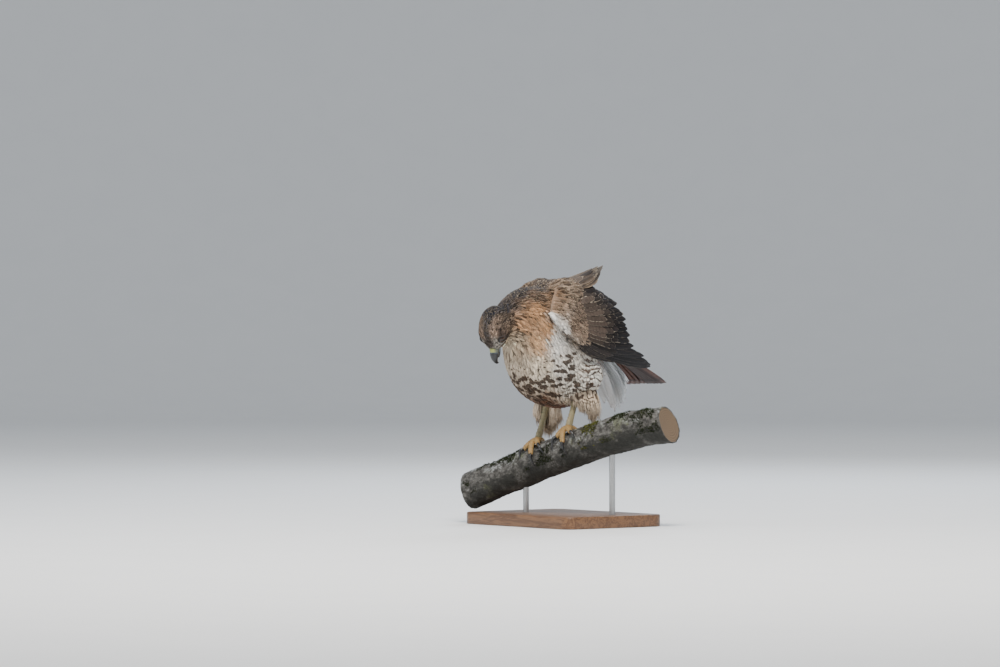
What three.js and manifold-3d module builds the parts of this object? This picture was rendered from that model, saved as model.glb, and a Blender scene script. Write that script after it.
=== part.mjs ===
// A life-size still model of a red-tailed hawk, bent down over its feet on a length of branch,
// held by a plain display stand. Millimetres, +Z up; the bird faces -Y and its left side is +X.
// The origin is the centre of the underside of the stand's base.
import * as THREE from 'three';
import { mergeVertices } from 'three/addons/utils/BufferGeometryUtils.js';
import Module from 'manifold-3d';

const wasm = await Module();
wasm.setup();

// Driving sizes
const GAP = 0.3;                     // left between touching pieces
const BASE = { length: 340, width: 250, height: 24, corner: 26 };
const ROD_RADIUS = 6;
const ROD_PLACES = [-96, 118];       // along the branch from the middle of the stance
const BRANCH_RADIUS = 37;
const BRANCH_TURN = THREE.MathUtils.degToRad(19);    // from +X towards +Y
const BRANCH_RISE = THREE.MathUtils.degToRad(18.5);  // the end at the bird's left is the higher
const BRANCH_REACH = [-225, 262];    // along the branch from the middle of the stance
const STANCE = 38;                   // each foot's distance from the middle, along the branch
const PERCH_TOP = 176;               // top of the branch between the feet, above the floor
const BIRD_Y = -22;                  // the stance lies this far in front of the base's centre
const TARSUS = 80;
const CLAW = 26;
const TORSO = { centre: [0, -10, 176], long: 126, deep: 102, wide: 78, tilt: 55 };
const SKULL = { centre: [3, -154, 212], length: 47, wide: 34, deep: 34 };
const EYE_RADIUS = 7.5;
const TAIL_LENGTH = 204;
const VANE = 0.8;                    // thickness of a feather's vane

const COLOUR = {
  crown: 0x5e4a38, buff: 0xa98258, breast: 0xd9cdb8, back: 0x5b4c40, quill: 0x33291f, tail: 0x8d5a3c,
  white: 0xd8d6d0, thigh: 0xc9ad8b, leg: 0xb9a05a, toe: 0xc2852e, claw: 0x17150f, cere: 0xb5b878,
  bill: 0x23262a, eye: 0x2b1a0d, bark: 0x5c5a55, wood: 0x6b4a30, steel: 0x6d7074,
};

const vec = (x, y, z) => new THREE.Vector3(x, y, z);
const at = (list) => vec(...list);
const mix = THREE.MathUtils.lerp;
const radians = THREE.MathUtils.degToRad;
const smooth = (x, from, to) => THREE.MathUtils.smoothstep(x, from, to);

// Seeded numbers from 0 to 1, so that like feathers differ a little in the same way each time
let seed = 7;
function chance() {
  seed = (seed * 16807) % 2147483647;
  return seed / 2147483647;
}

// A geometry as a solid, turned right side out
function solid(geometry) {
  for (const name of ['normal', 'uv']) geometry.deleteAttribute(name);
  const merged = mergeVertices(geometry, 1e-3);
  const vertProperties = new Float32Array(merged.attributes.position.array);
  const triVerts = new Uint32Array(merged.index.array);
  const corner = (k) => vec().fromArray(vertProperties, 3 * triVerts[k]);
  let volume = 0;
  for (let k = 0; k < triVerts.length; k += 3) {
    volume += corner(k).dot(corner(k + 1).cross(corner(k + 2)));
  }
  if (volume < 0) {
    for (let k = 0; k < triVerts.length; k += 3) {
      [triVerts[k], triVerts[k + 1]] = [triVerts[k + 1], triVerts[k]];
    }
  }
  return new wasm.Manifold(new wasm.Mesh({ numProp: 3, vertProperties, triVerts }));
}

// A round form: a sphere whose rings go where place(along 0 to 1, angle) puts them
function rounded(rings, sides, place) {
  const geometry = new THREE.SphereGeometry(1, sides, rings);
  const position = geometry.attributes.position;
  for (let i = 0; i < position.count; i++) {
    const row = Math.floor(i / (sides + 1));
    const column = row === 0 || row === rings ? 0 : (i % (sides + 1)) % sides;
    const point = place(row / rings, (column / sides) * 2 * Math.PI);
    position.setXYZ(i, point.x, point.y, point.z);
  }
  return solid(geometry);
}

// A round limb along points: radii at even steps along it, wide across and deep towards up
function limb(points, radii, rings, sides, { up = vec(0, 0, 1), flat = 1, grow = 0, plate } = {}) {
  const path = new THREE.CatmullRomCurve3(points.map(at), false, 'centripetal');
  return rounded(rings, sides, (t, angle) => {
    const along = t * (radii.length - 1);
    const step = Math.min(Math.floor(along), radii.length - 2);
    const closing = Math.sqrt(Math.max(0, 1 - Math.pow(Math.abs(2 * t - 1), 10)));
    let radius = (mix(radii[step], radii[step + 1], along - step) + grow) * closing;
    const ahead = path.getTangent(t);
    const side = ahead.clone().cross(up).normalize();
    const top = side.clone().cross(ahead).normalize();
    if (plate) radius += plate(t, angle) * closing;
    return path.getPoint(t)
      .addScaledVector(ahead, grow * (2 * t - 1))
      .addScaledVector(side, radius * Math.cos(angle))
      .addScaledVector(top, radius * flat * Math.sin(angle));
  });
}

// A feather's vane: a thin slab split alike on both faces, whose points go where
// place(along 0 to 1, across -0.5 to 0.5, face -0.5 or 0.5) puts them
function vane(rows, place) {
  const slab = new THREE.BoxGeometry(1, 1, 1, 1, rows, 1);
  const under = slab.groups[5];
  const index = slab.index.array;
  for (let k = under.start; k < under.start + under.count; k += 6) {
    const [a, b, d, , c] = index.slice(k, k + 6);
    index.set([a, b, c, a, c, d], k);
  }
  const position = slab.attributes.position;
  for (let i = 0; i < position.count; i++) {
    const along = Math.pow(position.getY(i) + 0.5, 0.85);
    const point = place(along, position.getX(i), position.getZ(i));
    position.setXYZ(i, point.x, point.y, point.z);
  }
  return solid(slab);
}

// A vane widens from its quill, is broadest past the middle and closes in a round tip
const vaneWidth = (t) => (0.34 + 0.66 * smooth(t, 0, 0.42)) * Math.sqrt(1 - 0.8 * Math.pow(t, 7));

// A loose feather or lock from its root over a bend to its tip, its upper face towards up
function plume({ root, bend, tip, width, up, rows = 4, thick = VANE, tilt = 0, point = 0.45 }, grow) {
  const path = new THREE.QuadraticBezierCurve3(root, bend, tip);
  const rooted = path.getTangent(0.5).cross(up).normalize();
  return vane(rows, (t, across, face) => {
    const ahead = path.getTangent(t);
    const top = rooted.clone().cross(ahead).normalize();
    const wide = width * vaneWidth(t) * mix(1, point, Math.pow(t, 4)) + 2 * grow;
    const deep = thick * mix(1.3, 0.6, t) + 2 * grow;
    return path.getPoint(t)
      .addScaledVector(ahead, grow * (2 * t - 1))
      .addScaledVector(rooted, wide * across)
      .addScaledVector(top, deep * face + tilt * wide * across);
  });
}

const join = (pieces) => pieces.reduce((all, piece) => all.add(piece));
const cut = (body, tools) => tools.reduce((left, tool) => left.subtract(tool), body);
const largest = (body) => body.decompose().sort((a, b) => b.volume() - a.volume())[0];

const hawk = new THREE.Group();
hawk.position.set(0, BIRD_Y, PERCH_TOP);

// Each piece is cut clear of all those before it: form(grow) is its shape, grown all over
const placed = [];
function addPiece(name, form, color, roughness, metalness = 0) {
  const made = largest(cut(form(0), placed)).getMesh();
  placed.push(form(GAP));
  const geometry = new THREE.BufferGeometry();
  geometry.setAttribute('position', new THREE.BufferAttribute(made.vertProperties, 3));
  geometry.setIndex(new THREE.BufferAttribute(made.triVerts, 1));
  const piece = new THREE.Mesh(geometry, new THREE.MeshStandardMaterial({ color, roughness, metalness }));
  piece.name = name;
  hawk.add(piece);
}

const SIDES = [['left', 1], ['right', -1]];

// The branch: its centre line, and the point of its bark at an angle from its top towards the back
const branchAcross = vec(-Math.sin(BRANCH_TURN), Math.cos(BRANCH_TURN), 0);
const branchAlong = vec(
  Math.cos(BRANCH_TURN) * Math.cos(BRANCH_RISE),
  Math.sin(BRANCH_TURN) * Math.cos(BRANCH_RISE),
  Math.sin(BRANCH_RISE),
);
const branchUp = branchAlong.clone().cross(branchAcross).normalize();
const branchBend = (s) => -5 * Math.pow(s / 200, 2) - (s > 120 ? 0.0006 * Math.pow(s - 120, 2) : 0);

function barkRadius(s, angle) {
  const knots = 3.5 * Math.exp(-Math.pow((s - 196) / 22, 2)) * Math.max(0, Math.cos(angle - 0.6));
  const waves = 1.1 * Math.sin(s / 19 + 2 * angle) + 0.9 * Math.sin(s / 41 - 3 * angle);
  return BRANCH_RADIUS + knots + waves * (1 - Math.exp(-Math.pow(s / 70, 2)));
}

function barkPoint(s, angle, height = 0) {
  const radius = barkRadius(s, angle) + height;
  return vec(0, 0, 0)
    .addScaledVector(branchAlong, s)
    .addScaledVector(branchUp, branchBend(s) - BRANCH_RADIUS + radius * Math.cos(angle))
    .addScaledVector(branchAcross, radius * Math.sin(angle));
}

function branchForm(grow) {
  const [low, high] = BRANCH_REACH;
  const rings = 18;
  return rounded(rings, 16, (t, angle) => {
    const end = t === 0 || t === 1;
    const s = mix(low - grow, high + grow, THREE.MathUtils.clamp((t * rings - 1) / (rings - 2), 0, 1));
    if (!end) return barkPoint(s, angle, grow);
    return barkPoint(s, angle, -barkRadius(s, angle));
  });
}

// The trunk of the body, an egg that leans forward over the feet
const lean = radians(TORSO.tilt);
const bodyLong = vec(0, -Math.cos(lean), Math.sin(lean));
const bodyDeep = vec(0, -Math.sin(lean), -Math.cos(lean));

function torsoForm(grow) {
  return rounded(14, 18, (t, angle) => {
    const lift = Math.cos(t * Math.PI);
    const ring = Math.sin(t * Math.PI);
    const breast = Math.max(0, Math.cos(angle));
    const full = 1 + 0.1 * breast * breast * Math.exp(-Math.pow((lift + 0.25) / 0.55, 2));
    const flatBack = 1 - 0.1 * Math.max(0, -Math.cos(angle)) * ring;
    const narrow = 1 - 0.12 * smooth(-lift, 0.2, 1);
    return at(TORSO.centre)
      .addScaledVector(bodyLong, (TORSO.long + grow) * lift)
      .addScaledVector(bodyDeep, (TORSO.deep + grow) * ring * Math.cos(angle) * full * flatBack)
      .addScaledVector(vec(1, 0, 0), (TORSO.wide + grow) * ring * Math.sin(angle) * narrow);
  });
}

// The neck reaches forward from the shoulders and turns down into the nape
function neckForm(grow) {
  const points = [[0, 2, 206], [1, -60, 226], [3, -108, 226], [5, -142, 213]];
  return limb(points, [66, 80, 70, 49, 27], 10, 16, { up: vec(0, -0.4, 1), flat: 1.04, grow });
}

// The head's own axes: ahead along the bill, top out of the crown, left out of the left eye
const headTurn = radians(17);
const headDrop = radians(84);
const headLevel = vec(Math.sin(headTurn), -Math.cos(headTurn), 0);
const headAhead = headLevel.clone().multiplyScalar(Math.cos(headDrop)).add(vec(0, 0, -Math.sin(headDrop)));
const headLeft = vec(Math.cos(headTurn), Math.sin(headTurn), 0);
const headTop = headLeft.clone().cross(headAhead).multiplyScalar(-1).normalize();

function inHead(ahead, left, top) {
  return at(SKULL.centre)
    .addScaledVector(headAhead, ahead)
    .addScaledVector(headLeft, left)
    .addScaledVector(headTop, top);
}

const EYE = { ahead: 15, side: 22, top: 7 };

// The skull is broad behind the eyes, flat on the crown, with a ridge of brow over each eye
function headForm(grow) {
  const skull = rounded(12, 16, (t, angle) => {
    const ahead = Math.cos(t * Math.PI);
    const ring = Math.sin(t * Math.PI);
    const side = Math.cos(angle);
    const rise = Math.sin(angle);
    const taper = ahead > 0 ? 1 - 0.42 * Math.pow(ahead, 2.2) : 1;
    const crown = rise > 0 ? 0.92 : 0.98;
    const brow = 2.6 * Math.exp(-Math.pow((ahead - 0.4) / 0.26, 2))
      * Math.exp(-Math.pow((rise - 0.47) / 0.16, 2));
    const socket = -3.4 * Math.exp(-Math.pow((ahead - 0.42) / 0.2, 2))
      * Math.exp(-Math.pow((rise - 0.16) / 0.2, 2));
    const wide = (SKULL.wide + grow) * ring * taper * side + (brow + socket) * Math.sign(side);
    const deep = (SKULL.deep + grow) * ring * taper * crown * rise;
    return inHead((SKULL.length + grow) * ahead - 5, wide, deep - 2 * ahead);
  });
  return grow ? skull : join([skull, lidForm(1), lidForm(-1)]);
}

const eyeAt = (side) => inHead(EYE.ahead, side * EYE.side, EYE.top);

function eyeForm(side, grow) {
  return rounded(6, 10, (t, angle) => eyeAt(side).add(
    vec(
      Math.sin(t * Math.PI) * Math.cos(angle),
      Math.sin(t * Math.PI) * Math.sin(angle),
      Math.cos(t * Math.PI),
    ).multiplyScalar(EYE_RADIUS + grow),
  ));
}

// Lids: a soft rim round the eye
function lidForm(side) {
  const rim = new THREE.TorusGeometry(EYE_RADIUS - 1, 1.9, 4, 10);
  const out = headLeft.clone().multiplyScalar(side * 0.88)
    .addScaledVector(headAhead, 0.42).addScaledVector(headTop, 0.06).normalize();
  const turn = new THREE.Quaternion().setFromUnitVectors(vec(0, 0, 1), out);
  rim.applyQuaternion(turn);
  const place = eyeAt(side).addScaledVector(out, EYE_RADIUS * 0.4);
  rim.translate(place.x, place.y, place.z);
  return solid(rim);
}

// The bill: points in the head's own axes, along its hooked upper half and short lower half
const toHead = (points) => points.map(([ahead, top]) => inHead(ahead, 0, top).toArray());

function cereForm(grow) {
  const points = toHead([[30, -4], [37, -3.5], [44, -4.5]]);
  const sheath = limb(points, [11.5, 10.5, 9.3, 8.2], 5, 10, { up: headTop, grow });
  return grow ? sheath : cut(sheath, [nostrilForm(1), nostrilForm(-1)]);
}

function upperBillForm(grow) {
  const points = toHead([[38, -4], [47, -5], [55, -8], [61, -14], [62, -21]]);
  return limb(points, [9, 8.6, 7.4, 5, 2.4, 0.7], 10, 10, { up: headTop, flat: 1, grow });
}

function lowerBillForm(grow) {
  const points = toHead([[30, -13], [41, -14.5], [51, -16.5]]);
  return limb(points, [8, 7.6, 6.4, 4], 6, 10, { up: headTop, flat: 0.62, grow });
}

function nostrilForm(side) {
  const hole = new THREE.SphereGeometry(1.5, 6, 4);
  const place = inHead(42.5, side * 8.2, -2);
  hole.translate(place.x, place.y, place.z);
  return solid(hole);
}

// The wing's outer face, as the distance from the middle plane over a point of the side view
const wingFace = (y, z) => 90 - 0.00073 * y * y - 0.00296 * Math.pow(z - 200, 2);

function wingPoint(side, y, z, level) {
  return vec(side * (wingFace(y, z) + level), y, z);
}

// A value along a list of even steps
function along(list, t) {
  const step = Math.min(Math.floor(t * (list.length - 1)), list.length - 2);
  return mix(list[step], list[step + 1], t * (list.length - 1) - step);
}

// The arm under its small coverts: a thin form from the bend of the wing to the edge of the dome
const WING_FRONT = new THREE.Vector2(-84, 250);
const WING_DOME = new THREE.Vector2(62, 199);
const DOME_TOP = [0, 58, 78, 88, 88, 80, 66, 44, 0];
const DOME_LOW = [0, 12, 19, 26, 32, 35, 34, 24, 0];
const DOME_THICK = [0, 7, 9, 10, 10, 9, 8, 6, 0];

function armForm(side, grow) {
  const spine = WING_DOME.clone().sub(WING_FRONT).normalize();
  return rounded(9, 12, (t, angle) => {
    const rise = (along(Math.sin(angle) > 0 ? DOME_TOP : DOME_LOW, t) + grow) * Math.sin(angle);
    const flat = WING_FRONT.clone().lerp(WING_DOME, t);
    const level = (along(DOME_THICK, t) + grow) * Math.cos(angle);
    return wingPoint(side, flat.x - spine.y * rise, flat.y + spine.x * rise, level);
  });
}

// The tiers of a wing in side view: where roots and tips begin and end, from the top one down
const WING_TIERS = [
  { count: 6, rows: 4, roots: [[6, 196], [-2, 180]], width: 23, level: 1, step: 1.4, tilt: 0.02, drop: 6,
    tips: [[142, 181], [176, 166], [204, 150], [219, 141], [190, 149], [144, 159]] },
  { count: 6, rows: 4, roots: [[2, 294], [10, 210]], width: 34, level: 3.6, step: 0, tilt: 0.11, drop: -3,
    tips: [[56, 294], [78, 281], [102, 268], [116, 240], [122, 214], [129, 192]] },
  { count: 5, rows: 3, roots: [[18, 286], [20, 200]], width: 31, level: 6.4, step: 0, tilt: 0.1, drop: -2,
    tips: [[56, 296], [80, 268], [92, 236], [94, 204], [80, 176]] },
  { count: 3, rows: 3, roots: [[16, 262], [26, 212]], width: 32, level: 8.8, step: 0, tilt: 0.09, drop: -1,
    tips: [[64, 270], [79, 234], [70, 198]] },
  { count: 2, rows: 3, roots: [[-14, 204], [-12, 198]], width: 20, level: 5.6, step: 1.4, tilt: 0, drop: 8,
    tips: [[80, 160], [54, 160]] },
];

function wingForm(side, grow) {
  seed = 45 + side;
  const quills = WING_TIERS.flatMap(({ count, rows, roots, tips, width, level, step, tilt, drop }) => {
    const edge = new THREE.SplineCurve(tips.map(([y, z]) => new THREE.Vector2(y, z)));
    return Array.from({ length: count }, (_, i) => {
      const share = i / (count - 1);
      const root = new THREE.Vector2(...roots[0]).lerp(new THREE.Vector2(...roots[1]), share);
      const tip = edge.getPoint(share).add(new THREE.Vector2(4 * chance() - 2, 3 * chance() - 1.5));
      const bend = root.clone().lerp(tip, 0.5).add(new THREE.Vector2(0, -drop * (1 + 1.4 * share)));
      const path = new THREE.QuadraticBezierCurve(root, bend, tip);
      const spread = width * (0.92 + 0.16 * chance());
      return vane(rows, (t, across, face) => {
        const middle = path.getPoint(t);
        const ahead = path.getTangent(t);
        const wide = (spread * vaneWidth(t) + 2 * grow) * across;
        const deep = VANE * mix(1.2, 0.75, t) + 2 * grow;
        const lift = (level - step * i) * smooth(t, -0.4, 0.3) - tilt * wide + deep * face;
        return wingPoint(side, middle.x - ahead.y * wide, middle.y + ahead.x * wide, lift);
      });
    });
  });
  return join([armForm(side, grow), ...quills]);
}

// The tail swings a little to the bird's right and slopes down behind
const tailSwing = radians(12);
const tailDrop = radians(30);
const tailRoot = vec(0, 92, 206);
const tailBack = vec(
  -Math.sin(tailSwing) * Math.cos(tailDrop),
  Math.cos(tailSwing) * Math.cos(tailDrop),
  -Math.sin(tailDrop),
);
const tailLeft = vec(Math.cos(tailSwing), Math.sin(tailSwing), 0);
const tailTop = tailLeft.clone().cross(tailBack).normalize();

function inTail(back, left, top) {
  return tailRoot.clone()
    .addScaledVector(tailBack, back)
    .addScaledVector(tailLeft, left)
    .addScaledVector(tailTop, top);
}

// Twelve tail feathers in a half open fan, the middle pair on top, under a few coverts
const TAIL_SPREAD = radians(15.5);

function tailForm(grow) {
  seed = 57;
  const rump = limb([[-24, 0, 0], [8, 0, 1], [46, 0, 1]].map((p) => inTail(...p).toArray()),
    [22, 27, 24, 14], 6, 10, { up: tailTop, flat: 0.42, grow });
  const quills = Array.from({ length: 12 }, (_, i) => {
    const place = (i - 5.5) / 5.5;
    const turn = place * TAIL_SPREAD;
    const length = TAIL_LENGTH * (1 - 0.035 * Math.abs(place)) + 3 * chance();
    const level = (i > 5 ? 3.4 : 1.9) - 8 * Math.abs(place);
    const spot = (back, fall) => inTail(back * Math.cos(turn), 9 * place + back * Math.sin(turn), level * fall);
    return plume({
      root: spot(4, 0.8), bend: spot(length * 0.5, 1.1), tip: spot(length, 1),
      width: 36, up: tailTop, rows: 4, point: 0.8,
    }, grow);
  });
  const coverts = [-0.7, 0, 0.65].map((place) => plume({
    root: inTail(4, 14 * place, 8), bend: inTail(40, 20 * place, 10),
    tip: inTail(78 + 6 * chance(), 26 * place, 8 - 3 * Math.abs(place)), width: 26, up: tailTop, rows: 3,
  }, grow));
  return join([rump, ...quills, ...coverts]);
}

// White coverts hang from under the root of the tail, long and soft
function covertsForm(grow) {
  seed = 83;
  const root = limb([[0, 76, 176], [0, 106, 160], [-1, 128, 128]], [22, 29, 24], 6, 12,
    { up: vec(0, 1, 0.4), flat: 0.6, grow });
  const plumes = [3, 2, 2].flatMap((count, tier) => Array.from({ length: count }, (_, i) => {
    const place = (2 * i) / (count - 1) - 1;
    const reach = [108, 92, 70][tier] + 8 * chance();
    const depth = 9 * tier - 5 * place * place;
    return plume({
      root: vec(13 * place, 102 + depth, 162 + depth * 0.3),
      bend: vec(22 * place, 126 + depth, 148 - reach * 0.1),
      tip: vec(17 * place - 1, 140 + depth * 0.9, 168 - reach),
      width: 32, up: vec(0.35 * place, 1, 0.3), rows: 3, thick: 1.4, point: 0.3,
    }, grow);
  }));
  return join([root, ...plumes]);
}

// Back and shoulders: the mantle between the wings
function mantleForm(grow) {
  const points = [[0, -52, 262], [0, -10, 290], [0, 40, 268], [0, 84, 226]];
  return limb(points, [30, 60, 66, 56, 26], 8, 12, { up: vec(0, 0.3, 1), flat: 0.4, grow });
}

// Long shoulder feathers over the root of the wing: the wind lifts the left ones clear of it
function scapularsForm(side, grow) {
  seed = 41 + side;
  const lifted = side > 0 ? 1 : 0;
  const pad = limb(
    [[side * 32, -44, 294], [side * 44, -6, 306], [side * 46, 28, 302 + 4 * lifted]],
    [14, 24, 22, 12], 6, 10, { up: vec(side * 0.45, 0, 1), flat: 0.42, grow },
  );
  const plumes = [0, 1].flatMap((tier) => Array.from({ length: 5 - tier }, (_, i) => {
    const share = i / (4 - tier);
    const out = mix(28, 62, share);
    const fall = 17 * share * share + 1.5 * i;
    const back = (tier ? 62 : 104) - 16 * share + 5 * chance();
    const rise = lifted ? mix(38, 18, share) - 15 * tier : -12 - 8 * share;
    return plume({
      root: vec(side * mix(34, 54, share), 0 - 12 * tier, 306 - fall * 0.6 + 2 * tier),
      bend: vec(side * out, 42 - 10 * tier, 311 - fall + rise * 0.1 + 4 * tier),
      tip: vec(side * (out - 4), back, 304 - fall + rise + 3 * tier),
      width: 27, up: vec(side * 0.3, -0.2 * lifted, 1), rows: 3,
    }, grow);
  }));
  return join([pad, ...plumes]);
}

const footPlace = (side) => barkPoint(side * STANCE, 0, 9);
const heelPlace = (side) => footPlace(side).add(vec(0, 24, Math.sqrt(TARSUS * TARSUS - 24 * 24)));

// The thigh is a feathered drumstick from the flank down to the heel, with hanging locks
function thighForm(side, grow) {
  seed = 97 + side;
  const heel = heelPlace(side);
  const drum = limb([
    [side * 28, heel.y - 16, 170], [side * 46, heel.y + 2, 116],
    [side * 46, heel.y + 7, heel.z + 8], [side * 42, heel.y + 6, heel.z - 20],
  ], [24, 42, 41, 31, 14], 9, 12, { up: vec(0, -1, 0.2), flat: 1.12, grow });
  const locks = Array.from({ length: 8 }, (_, i) => {
    const round = radians(mix(-50, 160, i / 7));
    const out = vec(side * Math.cos(round), Math.sin(round), 0);
    const hang = 26 + 18 * Math.sin(radians(mix(20, 160, i / 7))) + 8 * chance();
    const layer = 3.2 * (i % 2);
    const from = vec(side * 45, heel.y + 7, heel.z);
    return plume({
      root: from.clone().addScaledVector(out, 22 + layer).add(vec(0, 0, 22)),
      bend: from.clone().addScaledVector(out, 42 + layer).add(vec(0, 0, -2)),
      tip: from.clone().addScaledVector(out, 18 + layer).add(vec(side * 3, 8, -24 - hang)),
      width: 26, up: out, rows: 3, thick: 1.8, point: 0.2,
    }, grow);
  });
  return join([drum, ...locks]);
}

// Scutes on the front of the shank: each plate stands proud at its upper edge
function scuteRise(count, depth, faces) {
  return (t, angle) => {
    const facing = Math.max(0, Math.cos(angle - faces));
    return facing > 0.3 ? depth * facing * (1 - ((t * count) % 1)) : 0;
  };
}

function tarsusForm(side, grow) {
  const heel = heelPlace(side);
  const foot = footPlace(side);
  const middle = heel.clone().lerp(foot, 0.5).add(vec(0, 1.5, 0));
  const low = foot.clone().add(vec(0, 0, -2));
  return limb(
    [heel.toArray(), middle.toArray(), low.toArray()], [8, 6.2, 5.4, 5.6, 7.6], 18, 8,
    { up: vec(0, -1, 0), flat: 1.12, grow, plate: scuteRise(9, 0.9, Math.PI / 2) },
  );
}

// Each toe is a path over the bark: how far round, how far along, and its length
const TOES = [
  { length: 25, start: 0.16, spread: 0.15, claw: 1.2 },
  { length: 33, start: -0.12, spread: -0.5, claw: 1.1 },
  { length: 47, start: -0.16, spread: 0.02, claw: 1 },
  { length: 36, start: -0.12, spread: 0.62, claw: 0.85 },
];

function toePoint(side, toe, reach, height) {
  const round = Math.sign(toe.start) * reach * Math.cos(toe.spread) / (BRANCH_RADIUS + height);
  return barkPoint(side * STANCE + side * reach * Math.sin(toe.spread), toe.start + round, height);
}

function toeForm(side, toe, grow) {
  const points = [0, 0.34, 0.68, 1].map((f) => toePoint(side, toe, toe.length * f, mix(8.6, 5.2, f)).toArray());
  const outward = toePoint(side, toe, toe.length / 2, 30).sub(toePoint(side, toe, toe.length / 2, 0)).normalize();
  return limb(points, [6.4, 6, 5.4, 5.2, 4.6], 8, 6,
    { up: outward, flat: 0.9, grow, plate: scuteRise(6, 0.7, Math.PI / 2) });
}

function clawForm(side, toe, grow) {
  const reach = (f) => toe.length - 2 + CLAW * toe.claw * f * 0.86;
  const heights = [5.2, 8.6, 7.4, 1.2];
  const points = heights.map((h, i) => toePoint(side, toe, reach(i / 3), h).toArray());
  const outward = toePoint(side, toe, toe.length, 30).sub(toePoint(side, toe, toe.length, 0)).normalize();
  return limb(points, [3.6, 3.3, 2.4, 0.5], 6, 6, { up: outward, flat: 1.1, grow });
}

const footForm = (side, grow) => join([
  ...TOES.map((toe) => toeForm(side, toe, grow)),
  limb([barkPoint(side * STANCE, -0.2, 7.5).toArray(), barkPoint(side * STANCE, 0.2, 7.5).toArray()],
    [6, 8, 8, 6], 5, 8, { up: branchUp, flat: 0.85, grow }),
]);

// The stand: a flat base with rounded corners, and two rods up into the underside of the branch
function baseForm() {
  const { length, width, height, corner } = BASE;
  const outline = new THREE.Shape();
  const [x, y] = [length / 2, width / 2];
  outline.moveTo(-x + corner, -y);
  outline.lineTo(x - corner, -y);
  outline.absarc(x - corner, -y + corner, corner, -Math.PI / 2, 0);
  outline.lineTo(x, y - corner);
  outline.absarc(x - corner, y - corner, corner, 0, Math.PI / 2);
  outline.lineTo(-x + corner, y);
  outline.absarc(-x + corner, y - corner, corner, Math.PI / 2, Math.PI);
  outline.lineTo(-x, -y + corner);
  outline.absarc(-x + corner, -y + corner, corner, Math.PI, 1.5 * Math.PI);
  const slab = new THREE.ExtrudeGeometry(outline, { depth: height, bevelEnabled: false, curveSegments: 6 });
  return solid(slab.translate(0, -BIRD_Y, -PERCH_TOP));
}

function rodForm(along) {
  const foot = barkPoint(along, Math.PI);
  const top = foot.z + BRANCH_RADIUS * 0.8;
  const low = BASE.height + GAP - PERCH_TOP;
  const rod = new THREE.CylinderGeometry(ROD_RADIUS, ROD_RADIUS, top - low, 20);
  return solid(rod.rotateX(Math.PI / 2).translate(foot.x, foot.y, (top + low) / 2));
}

addPiece('perch', branchForm, COLOUR.bark, 0.9);
addPiece('stand_base', baseForm, COLOUR.wood, 0.55);
ROD_PLACES.forEach((along, i) => {
  addPiece(`stand_rod_${i + 1}`, () => rodForm(along), COLOUR.steel, 0.35, 1);
});
addPiece('torso', torsoForm, COLOUR.breast, 0.85);
addPiece('neck', neckForm, COLOUR.buff, 0.85);
for (const [name, side] of SIDES) {
  addPiece(`eye_${name}`, (grow) => eyeForm(side, grow), COLOUR.eye, 0.15);
}
addPiece('head', headForm, COLOUR.crown, 0.85);
addPiece('cere', cereForm, COLOUR.cere, 0.5);
addPiece('bill_upper', upperBillForm, COLOUR.bill, 0.35);
addPiece('bill_lower', lowerBillForm, COLOUR.bill, 0.4);
addPiece('mantle', mantleForm, COLOUR.back, 0.85);
addPiece('tail', tailForm, COLOUR.tail, 0.75);
addPiece('undertail', covertsForm, COLOUR.white, 0.85);
for (const [name, side] of SIDES) {
  addPiece(`thigh_${name}`, (grow) => thighForm(side, grow), COLOUR.thigh, 0.85);
  addPiece(`tarsus_${name}`, (grow) => tarsusForm(side, grow), COLOUR.leg, 0.6);
  addPiece(`foot_${name}`, (grow) => footForm(side, grow), COLOUR.toe, 0.6);
  TOES.forEach((toe, i) => {
    addPiece(`claw_${name}_${i + 1}`, (grow) => clawForm(side, toe, grow), COLOUR.claw, 0.3);
  });
}
for (const [name, side] of SIDES) {
  addPiece(`scapulars_${name}`, (grow) => scapularsForm(side, grow), COLOUR.back, 0.8);
  addPiece(`wing_${name}`, (grow) => wingForm(side, grow), COLOUR.back, 0.8);
}

export default hawk;
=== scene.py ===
import math

import bmesh
import bpy
import numpy as np
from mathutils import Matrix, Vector, noise
from mathutils.bvhtree import BVHTree


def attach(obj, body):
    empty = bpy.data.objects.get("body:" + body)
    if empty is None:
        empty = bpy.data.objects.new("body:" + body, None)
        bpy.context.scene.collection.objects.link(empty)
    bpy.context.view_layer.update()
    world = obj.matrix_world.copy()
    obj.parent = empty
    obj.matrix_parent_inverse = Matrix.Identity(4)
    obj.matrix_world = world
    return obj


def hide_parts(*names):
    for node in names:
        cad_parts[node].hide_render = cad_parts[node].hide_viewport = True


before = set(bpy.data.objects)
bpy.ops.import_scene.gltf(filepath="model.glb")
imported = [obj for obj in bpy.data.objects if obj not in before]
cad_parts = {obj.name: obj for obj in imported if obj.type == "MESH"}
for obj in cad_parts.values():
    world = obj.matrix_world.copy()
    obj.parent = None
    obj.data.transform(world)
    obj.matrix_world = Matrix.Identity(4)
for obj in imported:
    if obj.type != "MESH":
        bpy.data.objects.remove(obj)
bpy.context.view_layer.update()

# The stand's base is one oiled hardwood board on the table. Its upright corners are rounded
# and its upper and lower edges are eased so that they don't chip.
MM = 0.001
BASE_LENGTH = 340
BASE_WIDTH = 250
BASE_HEIGHT = 24
BASE_CORNER = 26
BASE_EASE = 2.2
SHARP_EDGE = 1.2


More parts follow.
